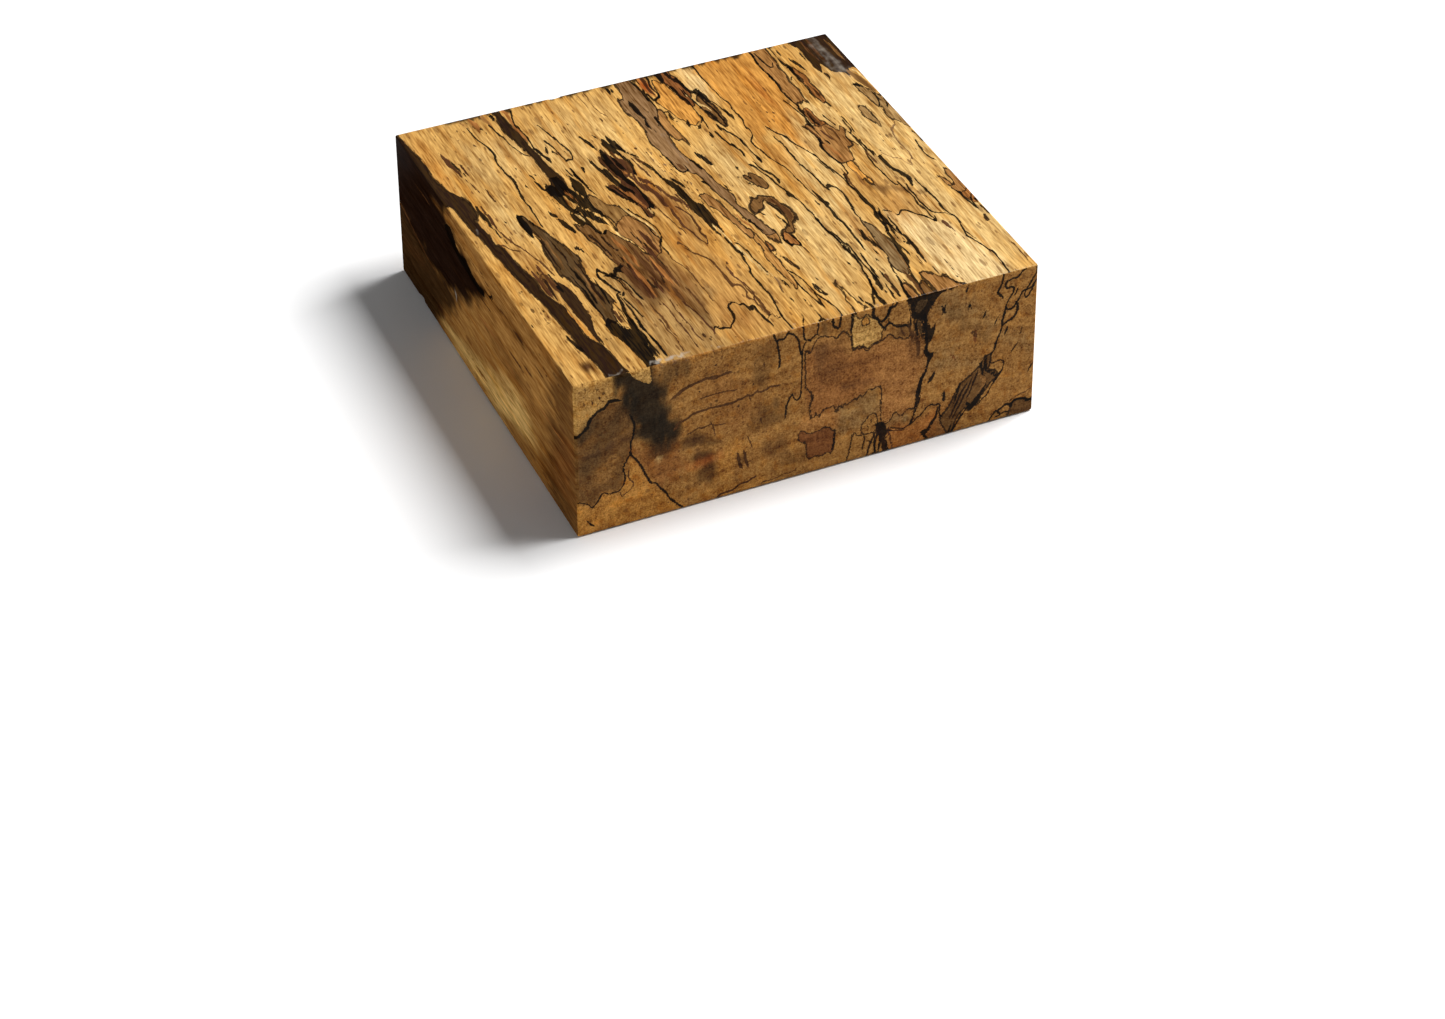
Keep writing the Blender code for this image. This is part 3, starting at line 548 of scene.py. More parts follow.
FRONT_DRAWING = """
haze olive fill=.35 stretch=1 122,30,9
haze umber fill=.5 stretch=1 87.7,28.7,1.6 97,29,1.4
shade gold soft=.5 fill=.75 -2,36 1.5,37.5 3.7,38.7 5,42 9,44.5 11,46.5 14,46 11,57 -2,57
shade dun soft=.7 fill=.85 -2,36 1.5,37.5 3.7,38.7 4.3,40.3 5,42 7,43.5 9,44.5 10,45 11,46.5 14,46 17.5,39.5
 18.4,31 17.5,25 15.2,21.5 15,16 13,13 10.3,12.7 8,13.7 6,10.5 5,9.5 2,11.5 -2,12.7
haze moss fill=.8 3,37,3.5 6,40,2.5
haze rust fill=.6 3,28,1 6,28.5,1.2 9,30,1.2 13,31,1.3 18,31,1.2
haze ochre fill=.55 8,20,4 12,24,3
haze moss fill=.5 3,24,3 10,34,4 14,40,2.5
haze rust fill=.4 12,28.5,2.4
specks 24,50,4 58,30,5
shade chestnut soft=2 fill=.8 17.5,27 26,26 33,25 34,14 28,11 24,12.5 21.5,17 19,23
shade honey soft=1 fill=.8 -2,12 5,9.5 8,13.7 13,13 15,16 17.5,25 19,23 21.5,17 24,12.3 30,5 35,-2 -2,-2
haze moss fill=.6 30,52,4 35,51,3
shade char soft=2.6 fill=.96 11,57 13.3,49.5 13.7,46.5 15,43 17,40.5 18.5,37.5 18.8,34 20,31.5 22,29 24,27
 27,26.3 30,27 32,28.5 32.5,31 32,34 30.5,36 29.5,39 28.2,41.5 29.3,45 28,48 26,51 25.5,53 24.5,57
haze char fill=.8 17,46,3.5 20,37,2.6
haze char fill=.75 26,34,6 28,29,6 27,24,4
haze char fill=.5 stretch=.6 37,24,5 41,23,4 46,21,2 / 42,17,4 39,17.5,3
haze char fill=.45 42,9.5,3.5 46,9,2.5
haze char fill=.35 58,24,4 64,28,4 66,24,3
haze char fill=.25 60,40,4 66,52,3
haze umber fill=.7 37,24,4 41,23,3 / 40,17.5,3.2 43,14,2.4 43,9.5,2.8
haze umber fill=.35 60,24,4 64,24,3
haze dun fill=.5 58,28,3 64,29,2
haze dun fill=.45 60,50,3 60,40,3
haze rust fill=.5 64,13,4.5
haze umber fill=.4 68,8,3 73,6.5,3
haze chestnut fill=.4 47,40,8 52,30,9
shade ochre soft=1 fill=.6 66,53 72.5,50 73,32 71,29.7 69.8,31.7 66,34
haze ember fill=.4 37,14.5,2 46,16,2
haze honey fill=.6 52,17,4 47,9,4
haze honey fill=.5 40,2,3 60,2,3
haze straw fill=.6 26.5,20.5,1.4
shade chestnut soft=2.5 fill=.8 76,45 90,41 98,40 99,28 88,22 76,21
shade blush soft=3 fill=.8 97,41 108,39 114,34 112,22 110,14 101,12 100,24
haze rust fill=.35 80,36.4,.6 90,35.8,.7 103,36.6,.6 / 100,26,.8 108,24.5,.8
haze moss fill=.7 79.5,44.5,3 79,38,2
haze umber fill=.6 88,28.5,1.8 97,28,1.5
haze umber fill=.4 84,42,6 82,34,5
haze umber fill=.6 106,44,3.5 110.5,40,4
shade olive soft=1 fill=.65 85,21.5 88.7,21 94,23.5 99,25 99.5,16 97,15.8 93.5,12.5 86,12
shade blush soft=1 fill=.7 74,20 84.5,21.5 84.8,14 77,15.5 74,16
haze olive fill=.75 104,10,2.5 109,10,2.5
shade ember soft=2 fill=.4 103,8 112,9 120,11 119,6 114,-1 103,-1
shade olive soft=2.5 fill=.55 118,53 126,52 137,40 140,36 137,34 128,41 119,44
shade olive soft=2.5 fill=.5 117,31 128,28 136,24 133,21 124,25 117,26
shade olive soft=2 fill=.5 141,34 152,27 152,22 141,29
haze ochre fill=.5 130,34,4 146,18,5
haze moss fill=.35 124,46,3 130,38,2.5 136,32,2
haze umber fill=.6 110.5,38,3 112,32,2.5 / 111,20,1.6
specks 6,48,4 9,50,3 / 45,50,6 52,46,5 / 38,37,5 / 34,27,3
bloom fill=.3 27,54,1 38,54,1.2
line w=.42 -1,36 1.5,37.5 3.7,38.7 4.3,40.3 5,42 7,43.5 9,44.5 10,45 11,46.5 12,46.7 14,46
patch gold 16,56 18,53.7 20,51.8 22,49.8 24.3,48.8 24.3,51.5 24,56
line w=.28 17.5,39.5 18.7,36 18.4,31 17.7,30 17.7,27 17.5,25 19,23 20.5,20 21.5,17 23,13.5 24,12.3 25.2,12
 26.5,10.3 28.5,7.7 30,5 32,2.3 33.5,.7 35,-1
line w=.2 17.5,25 16.3,23.5 15.2,21.5 15,20 15.3,18 15,16 14.5,14.5 13,13 12,13.2 10.3,12.7 9,13.7 8,13.7
 7.2,12.5 6,10.5 5,9.5 3.7,10.7 2,11.5 -1,12.7
line umber w=.15 16.5,20 16.3,17 18,14 17.8,13 16,12 15,11 14.3,10.7 13.6,12.5
streak soot 3.2,4.6,.3 4.8,3,.4
fleck umber 39,53.5,.15 42,53,.2 44.5,53.6,.15 47,53,.2 50,53.6,.15
fleck rust 3,48,.3 5.5,47.6,.3 8,48.4,.3 7,52,.25 3.5,53,.25
line umber w=.4 31,41.5 33,42.5 34,43.2,.6 35,43.5 38,44.7 42,45.2 45,45.3,.6 46,45 50,45.5
line umber w=.32 32,30 33,32 35,32.7 38,33.7 42,34.2 47,34 52,34.3 60,35.5 66,36
line umber w=.2 40,38.7 46,38.9 52,38.5 / 36,27 40,28 44,28 48,27 / 43,29 44.5,26.5 44.7,24
line rust w=.28 43.5,-.5 46,.5 48,1.3 51,1.8 53,2.7 56,3.3 58,3.7
line umber w=.15 60,.7 65,1.7 70,2.3 72,2.7
line w=.28 64.5,54 65.3,52 66,52 68,52.7 69,53.7 70,53 71,52.5 72.3,50.5 72.6,48 73.3,45
line w=.25 65.5,52 65.8,49 66,43.5,.3 65.8,42
line w=.24 73.6,55 74.2,51 74.8,49.6 75.5,49.5 76.3,49 77,50 78.2,50.8 79,50.5
line w=.2 78.9,55 78.7,52 78.8,50.7
line w=.22 74.8,49 73.8,47 73.5,44 73.6,40 73.4,35 73.3,30 72.7,29 72,28.7 71,29.7 70.3,30.5 69.8,31.7
 68.5,28.5 68,26 67.7,23
patch rose edge=.26 fill=.28 74.5,45.3 75.5,44.8 76.3,44.3 77,46.5 78.3,48.5 79.7,49.7 81.5,48.7 83,48.3
 84,48 84.8,47 85.8,48 87,49.2 88,48 88.5,49 89.3,46.8 90,46 90.2,41.3 91,41.5 92,42 92.7,41 93.5,41.7
 94.3,40.5 95.7,39.8 96.5,41 98,41.3 100,42.5 103,43.5 104,42 106,41.5 108,40 112,44 114.5,45 114.7,43
 115.3,40 115.2,37 114.7,34 116,32 117,30.7 115.8,29 115.3,26.5 114.3,24.5 113.3,22.5 113,20.5 112.8,19
 113.3,16.5 112.3,13.5 111.5,13.5 110,13.5 108.5,13 107,11.7 105.5,13.5 104,12.5 103.5,11 101,10.5 100.3,11
 100,14 100,18 100.2,22 99.7,25 98,25.5 97,24.7 96,25.2 95,25 93.7,23 92.6,24 92,22.5 91,23 89.5,22
 88.7,21.5 87.6,22.3 87,20.7 86,22 85.5,21.5 85,19.5 84.8,21.5 84,22.2 82,22.3 80.3,22 79.8,20.5 79.2,20.3
 78.3,22 77.5,20.3 76.5,21.3 76,20.3 76.2,25 76.6,28.5 76,30.5 75,32 75,37 74.6,40
streak soot 77,29,.2 77,27.5,.3
patch gold edge=.25 90.3,54.5 92,52.7 92.5,52 93.5,52.2 95,52.8 96,51.8 98.3,50.7 98.7,49.5 100.3,47.2
 101,47 99.7,45.5 100,43.2 98,41.8 96.5,41.5 95.7,40.5 94.3,41.2 93.5,42.3 92.7,41.7 92,42.6 90.4,42
streak soot 90.3,56,.5 90.3,51,.5 89.8,48.5,.4
patch honey edge=.25 95.8,50.5 95.3,51.6 94.3,52 93.3,51.6 92.8,50.5 93.3,49.4 94.3,49 95.3,49.4
line w=.4 97,55 96.7,51.8 98.3,50.7 98.7,49.5 100.5,49.7 101.5,50.5 102.3,53
line w=.25 98.5,49 100.3,47.2 101,47 103,47.5
line w=.33 83.3,55 83.8,52 85.7,50.7 86,52 86.5,55
shade dun soft=.5 fill=.7 80,56 80.2,49.5 81.5,49 81.6,56
fleck umber 58.2,46,.35 61,44.8,.35 56.5,34,.35 60,24.5,.4 55.5,24,.25 57.5,39,.25 63,53,.3
haze umber fill=.55 53.6,12,1.6
line umber w=.4 52,14 52.8,11.5 53.7,9
line umber w=.35 54,14.5 54.9,11.5 55.8,9
line umber w=.2 55.3,20 56.5,17 57,15.5
patch brick edge=.22 73,16 74.3,16 75.5,15 77,14.8 79,15 81,15.3 82.5,15 83.5,13.5 84.8,13 84.7,10 84.5,7.5
 83.5,5 82.5,5.5 81.5,6 80,5 78,5.5 76.3,5 75.3,6 74.8,9 74.5,12 73.5,11.5 72.5,13.5
streak soot 84.6,12.5,.3 84.6,9,.5 83.8,6,.3
patch ochre edge=.3 89.3,-2 89.5,3 90,6 90.3,9 91,10 92,8.7 94,8.6 96,9 98,8.5 98.2,4 98,-2
line w=.22 94.5,8 94.7,6.5 94,4.5 93.8,3
line w=.2 96,6 97.5,5
patch ochre edge=.22 93.5,12.5 95,13.7 96.5,15.5 97.7,15.8 98.7,14 99,12 99.3,9.5 97,8.8 94,9 93.7,11
fleck soot 95.7,11.5,.25 97,13.2,.25
streak soot 99,11,.6 100.5,9.5,1.4 101.5,8,.8 / 99.5,8,.5 98.4,4,.4 97.8,-1,.4 / 100.3,8,.5 100,4,.4
 99.2,-1,.4 / 101.2,8,.5 101.8,4,.4 102.6,-1,.4
streak rust 102.5,8,.5 103.5,4,.4 104.2,-1,.3
line w=.25 101,46 102,48 103,47.5 104,46.5 105.5,45.7 108,45 108.7,44 109.3,45 109.5,47.5
line w=.3 101,50 102,52 102.7,53.5 104,53.5 105,55
patch ochre edge=.2 102.4,47.8 104.5,46.8 108,45.4 109.2,46 109.7,49 108.6,53 107.5,56 104.5,56 102.6,52.5
 101.8,49.5
patch soot edge=.2 108.2,56 109.5,52.5 110,49.5 110.3,47.5 112,47 113,46 114.3,45.5 115.5,48 117,50.5
 118,52.5 120,54 126,54.2 127,56
patch moss 111.5,49.5 113,48.8 114.4,50.2 115.2,52.3 113.5,53.2 111.8,52
streak soot 114.5,46,.5 114.7,43,.6 115.3,40,.6 115.2,37,.7 114.7,34,.5 116,32,.8 117.8,31.8,.4
haze char fill=.75 113.4,46,3 114,38,1.8
streak soot 112,47,.5 113.2,43.5,.3
streak umber 108.5,46,.4 109.6,42,.5 110.4,38.5,.3 / 106,45,.3 107,42.5,.4
streak soot 116.5,30.5,.5 115.8,29,.4 115.3,26.5,.3 114.3,24.5,.5 113.3,22.5,.7 113,20.5,.7 112.8,19,.5 /
 113.3,17,.3 112.3,13.5,.3 111.5,11,.3 110.5,8.5,.5
streak umber 110,43,.4 111.5,40,.6 112.5,36,.7 112.5,33,.5
line w=.2 103.5,8 107,7 110,7.5
streak soot 121.5,49,.2 120.9,47.4,.4 120.3,45.8,.2 / 129.9,47.2,.2 129.6,45.6,.4 / 135.3,42.8,.2
 134.7,41.2,.4 / 117.6,42.5,.3 117.1,40,.7 116.6,37.5,.3 / 117.9,24.9,.3 117,23.2,.7 116.1,21.6,.3 /
 121.4,15.6,.5 121.5,13.4,.5 / 129,53.5,.4 128.5,52.5,.5 / 139,39,.25 138.3,37.5,.25 / 142.7,34.2,.3
 142.4,33,.4 / 148,33,.25 147.3,31,.25 / 146,27,.3 145,25.5,.35 / 152,18,.3 151,16.3,.35
streak brick 132,36.6,.5 132,33,.6 / 124,29.5,.5 125,28,.5
line w=.3 141.5,56 140.3,52 139.5,50 138.8,49 139,48 140.2,46.8 140.5,46
line w=.28 142,52 141.2,50 142.5,49.3 143.5,49.5 144.7,48.5 144.3,47 143.2,45.5 142.3,44 141.8,42.5
 142.5,41.5 144,41.3 145,42 146,43.5 146.8,45 147.7,46.7 149,47 150.5,47 151.5,48.5 153,50
line w=.26 142,52 144.5,52.3 146,52.3 147.5,54 149,56
line w=.35 141.8,42 141.3,39 140.8,37 141.2,36 143,37 144.5,37.7 146,39.5 146.2,42 145.7,43
line w=.28 141.2,36 140.3,33 139.3,31 138.7,29,.4 138.3,27 137.5,26
line w=.24 149,47 148.5,45 149.5,44 150.7,46 151.5,48 / 146,48 145,46
line w=.26 152,56 152,52 150.5,49.5 149.5,47.5
patch dun edge=.35 137,26.3 135.7,25.8 134.7,24 133.5,22 131,20.5 128,18.5 127,17.8 125.5,15 124.3,12
 122.5,9 120.5,7 120.3,5 122,2 123,-1.5 124.6,-1.5 125.5,3.5 127.5,6.5 129.5,8.5 130.5,7 132,7.5 133.5,9
 135,12 137,14.5 139.5,16.5 139.3,18.5 137.5,20 136.3,21 137.2,23 137.5,26
streak soot 135.8,25.4,.4 135.8,21,.5 138,18.5,.6 139,17,.4 / 134,23.6,.4 134.6,20,.5 135.6,16,.3 /
 136,15.5,.4 133,10,.7 131.5,8,1.1 130.3,9.5,.7 / 127,18,.4 126.5,15.5,.5 125,11,.3
streak brown 134,18.6,.6 135.3,16.6,.8 134,13.5,.4
streak ink 131,18.5,.3 129,14,.4 127,9.5,.3 124.5,5,.2 / 133,20,.3 131.5,16,.4 130,12.5,.3 / 129.4,17.6,.2
 126.8,12.4,.4 123.8,6,.3
streak soot 129.5,7.6,.3 127,4,.4 125,1,.4 124,-1,.4 / 124.4,3,.4 123.2,0,.5
line w=.2 137,23 138,22 139.5,22.7 141.3,22.3 142,20.5 141.5,18.5 140.3,17,.45 138.5,14.5 136.5,11.5 135,9.5
 133,8
line w=.24 110.3,8 112,8.8 114,10.3 115.5,12 117,12.8 119,12.3 120.5,11.8 120.3,8 121,7
line w=.38 119.7,10.5 119,8 117.7,6 117,4.5 116.5,3.3 115,3.7 114.3,3.3 115,1.5 116.5,-1
shade brick soft=.6 fill=.55 117,5 119.5,8.5 122,3 122,-2 116,-2
line w=.28 137,-.5 139,2 140,3.3 141,2
line w=.22 140,1 142.5,2 144,2.3
line w=.35 140.5,3.5 143.5,5 144.5,4.8 145.3,3.5 146.2,5.3 148,5.5 150,5.3 150.3,4.3 153,4.2
patch dun edge=.3 145.3,3.5 146.2,5.3 150,5.3 150.5,4.2 154,4.2 154,-2 143,-2
line umber w=.15 144.5,5.5 147,6.7 150,8 152,8.5
streak soot 110.5,47,.4 111.5,43,.6 112.8,39,.3
streak moss 112.2,46,.4 113.3,42,.7 114.2,38,.3
streak soot 113.6,45,.3 114.3,41,.5 114.9,37,.3 / 115.6,43.4,.3 116.2,40.4,.8 116.2,38,.4 / 114.6,33.4,.5
 116,31.6,.8 117.6,30.6,.4 / 113.4,23.6,.4 112.6,20,.8 112.2,16,.5 111.5,13,.3
streak ink 99.5,9,.8 100.8,5,.8 101.6,0,.5 / 98.5,8,.4 96.6,4,.4 95.5,0,.3 / 101,8.4,.3 104,6.8,.25
 108,6.4,.2
streak soot 120.4,48.6,.4 120.9,47.2,.6 121.2,46,.3 / 129.2,46.9,.3 129.8,46.2,.55 130.2,45.4,.3 /
 134.3,42.8,.3 134.9,41.9,.5 135.2,41,.3
streak umber 130.6,36.4,.4 131.7,35.4,.8 132.3,34.2,.4
"""

# The first pale hazes of the left face, which lighten its lower middle, and the honey haze below them are
# painted reflection of light from below.
LEFT_DRAWING = """
haze butter fill=.9 stretch=.5 52,3,9 84,7,17 106,15,14
haze butter fill=.5 stretch=.25 44,4,9 74,4,8
haze umber fill=.3 stretch=.4 108,28,12 88,30,10
haze moss fill=.6 stretch=.4 134,37,5
haze honey fill=.6 stretch=.3 45,2,6 75,1.5,6
haze umber fill=.45 stretch=.4 92,45,8 110,44,7
shade umber soft=9 fill=.7 128,-4 156,-4 156,58 140,58
haze rust fill=.4 stretch=.5 146,24,8
haze chestnut fill=.5 stretch=.4 140,12,12 148,30,8
shade ink soft=3 fill=1 -4,30 20,24 32,21 55,24 66,31 76,38 80,43 70,43.6 63,45 56,45 52,48 46,50 46,58
 -4,58
shade ink soft=3 fill=.9 -4,34 20,28 34,24.5 54,22.5 40,9 28,-2 -4,-2
patch soot 50,49.3 56,44.6 63,44.8 70,42.8 79,42.3 79,40.6 73,39.7 62,40.5 52,42.5 44,46
haze umber fill=.5 stretch=.3 5,14,8 20,18,8
haze rust fill=.6 stretch=.4 36,8,4
haze brown fill=.5 stretch=.2 38,50.5,8
line umber w=.4 0,28.5 10,26 20,23 32,21
streak umber 18,46,.3 24,46.3,.5 32,46,.3
streak soot 83,46,.3 86,45,.8 83.5,43.2,.5 80,43.5,.4
streak umber 70,47.5,.3 76,48.4,.5 83,47.5,.4 / 93,44.6,.3 96,45.2,.6 99,45.6,.3 / 103,44,.3 110,44.2,.5
 117,44,.3
line umber w=.3 73,38.6 79,38.2 84,38.4
streak umber 107,36.5,.3 113,36.6,.5 119,36.4,.3 / 100,33.5,.3 106,33.6,.4 112,33.4,.2
streak chestnut 60,8,.3 72,7,.6 84,7.4,.3
streak umber 66,17.6,.3 69,17.6,.5 71,17.4,.2 / 132,3,.3 137,4.6,.5 140,4.6,.3 / 121,43,.4 126,42.4,.5
 129,42.2,.3
streak chestnut 125,29,.3 135,28.6,.5 146,28.4,.3 / 96,26.8,.2 106,27,.5 118,26.8,.2 / 72,30,.2 80,30.3,.4
 92,30,.2
streak umber 138,50,.3 142,48.8,.5 147,49.4,.3
haze umber fill=.4 stretch=.6 140,27,11
specks stretch=.5 112,48,8 140,46,8
bloom fill=.9 51.6,25.4,.9 52.4,22.8,1
bloom fill=.6 40,7.2,.9
"""

RIGHT_DRAWING = """
haze cream fill=.6 stretch=.4 30,36,14 60,30,10
haze honey fill=.5 stretch=.4 96,12,12 60,6,8
haze olive fill=.4 stretch=.4 112,40,9
haze ochre fill=.5 stretch=.4 24,10,10
patch ink edge=.35 128,58 130,50 133.5,46 131,43.5 137,40 141,41 139,36 146,30 144,26 150,21 149,12 153,4
 156,-2 158,-2 158,58
streak brick 140,47,.3 146,45.5,.5 152,45,.3
streak umber 146,37,.4 151,34,.6 154,33,.3
patch ink edge=.3 106,58 110,51.2 121,50.8 124,52.2 130,52.6 130,58
patch olive edge=.28 47,58 49,51 52,48.6 55.5,50.4 58,48.4 60.3,51.8 61,58
patch dun edge=.3 -2,4.2 4,4.4 9,6.1 16,5.4 22,3.4 33,2.6 41,-2 -2,-2
patch moss edge=.3 88,58 91,50 97,46.6 103,47.8 100,51 106,54 106,58
patch brown edge=.28 8,19.4 18,20.6 28,20.4 36,22.8 44,22 53,24.2 61,22.2 72,21.8 82,20 71,19.4 62,19.8
 55,17.6 46,18.8 36,17 27,18.8 17,18.2
streak umber 20,19.6,.3 34,20,.8 48,21,.9 60,21,.3
streak rust 40,19.2,.2 50,20,.5 62,20.6,.2
patch chestnut edge=.3 72,14.2 82,15.4 90,15 97,18 105,17.2 111,18.2 119,16 129,15.8 140,14 128,14.2
 119,13.8 111,12 104,13.6 96,12 88,13.2 80,12.6
streak rust 84,14.2,.3 96,15.2,.8 108,15.4,.9 120,14.8,.3
streak soot 98,18.2,.2 104,17.4,.4 110,18.2,.2
patch olive edge=.28 52,38.6 62,39 70,40.6 77,39.4 84,41.8 92,39.8 100,40.6 112,38.6 101,38 93,36.6 86,38.2
 79,35.4 71,37 62,36.8
streak dun 62,38.4,.3 74,38.6,.7 86,39.4,.8 98,39.2,.3
streak umber 20,38.6,.2 30,39,.6 42,38.2,.7 52,38.6,.2
line w=.26 -1,50 6,47.6 14,46.4 26,47 40,44.8 47,45.6 58,43 64,43.6
streak soot 14,9.2,.2 26,9.8,.7 40,9,1 52,9.4,.4 60,9.2,.2
streak ink 96,6,.2 106,6.8,.7 116,6.2,.8 126,6.6,.2
streak chestnut 88,26,.2 98,25.6,.7 110,26.4,.8 122,26,.2
line w=.3 -1,29 8,30.4 16,33.2 30,33 41,35.4 52,34.4 66,37
line w=.24 60,22 70,25.6 82,27 96,30.4 104,30 116,33.2 128,32.6 135,36
line w=.26 24,-1 30,3.4 42,6.6 58,7.4 70,10.8 84,12
line w=.22 78,-1 90,3.2 108,5 122,9.6 136,9
line w=.24 -1,14.6 9,12.6 21,13.8 33,11.8 47,13.6 62,13 74,15
streak soot 36,45.2,.3 42,44.4,.7 47,43.9,.3 / 92,30.6,.3 98,31,.8 104,31.6,.3 / 112,18.8,.4 118,17.4,.9
 125,17,.3 / 8,40.6,.2 13,40.3,.5 18,40.4,.2 / 70,47.6,.2 76,47.2,.5 82,47.4,.2
streak rust 60,30.4,.2 67,30.2,.5 75,30.6,.2 / 116,44,.2 122,43.2,.6 127,43.6,.2
streak soot 134,24,.3 139,22.6,.8 145,22,.3
specks stretch=.5 20,40,9 76,20,10 / 112,26,8
"""

BACK_DRAWING = """
shade ochre soft=6 fill=.5 40,10 90,8 110,30 70,46 44,40
shade char soft=2 fill=1 138,58 136,44 139,34 137,25 142,16 148,10 156,8 156,58
haze char fill=.6 139,30,6 146,12,5
haze olive fill=.5 30,40,8 22,24,7
haze brick fill=.5 58,20,7
haze umber fill=.5 98,34,4 92,24,3
haze dun fill=.6 125,14,9
shade blush soft=3 fill=.6 60,42 84,42 88,24 74,20 62,26
patch ink edge=.35 -4,58 -4,28 2,30 4,36 7,39 8,45 11,48 12.5,58
patch rose edge=.26 fill=.35 58,50 61,47 62.4,48.8 64,48.6 67,46 68.6,47.8 70,47.4 74,45.6 76,47.4 78,47
 82,45.4 84,47.8 86,47.6 90,44.6 91,38 89.4,33 91.6,27 90,19 91,12 88,8 86.6,10.4 84.6,10 82,7 80,9.6
 78.6,9.4 75,6.6 72,9 69,12 70,18 66.4,20 65,18.4 62,18.6 58.6,21 60,28 57.4,34 59.6,41
patch moss edge=.3 70.5,58 71.4,52 73.8,48.6 76.4,50.8 77.8,58
patch soot edge=.2 115.6,58 116,53 118,49.6 119.8,53.6 120.4,58
patch soot 55.5,58 57,52.4 59.5,50 61,53 62.6,58
patch brown edge=.28 20,58 21,52.4 23.4,50.6 26,53 27.2,58
patch chestnut edge=.24 34,15 36.4,16.8 40,15.4 43,18 46.6,16.2 48,13.4 46.4,10.6 48,8 44,6.8 43,4 39,5.6
 37,8 33.6,8.4 35,12
patch dun edge=.35 12,24 16,26.4 20,24 26,18 31,11 34.6,4 36,-2 30,-2 27.6,4 22,11 15,17
patch ochre edge=.24 94,16 97,14.6 99,17 103,13.2 106,14 105,8 107.6,3.4 104,-2 96,-2 97,5 93.4,9
line w=.28 48.6,56 48,50 49.4,45 47.4,40 48,34 45.2,29 46.4,24
line w=.3 128,56 126.6,50 128.2,45.4 125.4,41 126.4,36 123.2,31.6 124.6,27 121,22 122,16 117.6,11 118,5
 115,-1
line w=.24 103.4,56 104,51 102.4,46 104.6,42 103,37 105,31 102.8,25 104,20
line w=.22 128,27 133,25.6 137,27.6 142,24 147,24.8 153,21
line w=.24 -1,15 5,16.6 9,14.2 14,16 17,13 23,13.6
line w=.22 65,20 66.2,14 64.6,9 67,4 66,-1 / 34,56 34.6,50 32,46 33,41 30,37 26,36.4 23,33 19,33.6
line rust w=.25 92,46 100,47.6 110,46.4 120,43.4 / 24,30 34,33 46,34.4 58,33.8
line rust w=.22 96,28 106,27.6 114,25
streak soot 90.6,42,.4 91.4,36,.8 90,31,.6 91.6,27,.4 / 60.4,40,.3 60,34,.6 61,29,.3 / 28,20,.5 31,14,.8
 33,9,.4
streak umber 18,24,.4 22,19,.5 26,12,.4
streak soot 14,44,.2 14.6,42,.5 15,40,.2 / 38,44,.2 38.6,42.4,.4 39,41,.2 / 82,12,.2 82.8,10,.5 83.4,8,.2 /
 112,36,.2 112.4,34,.4 113,32,.2
specks 108,40,5 100,50,4 / 40,24,5
"""

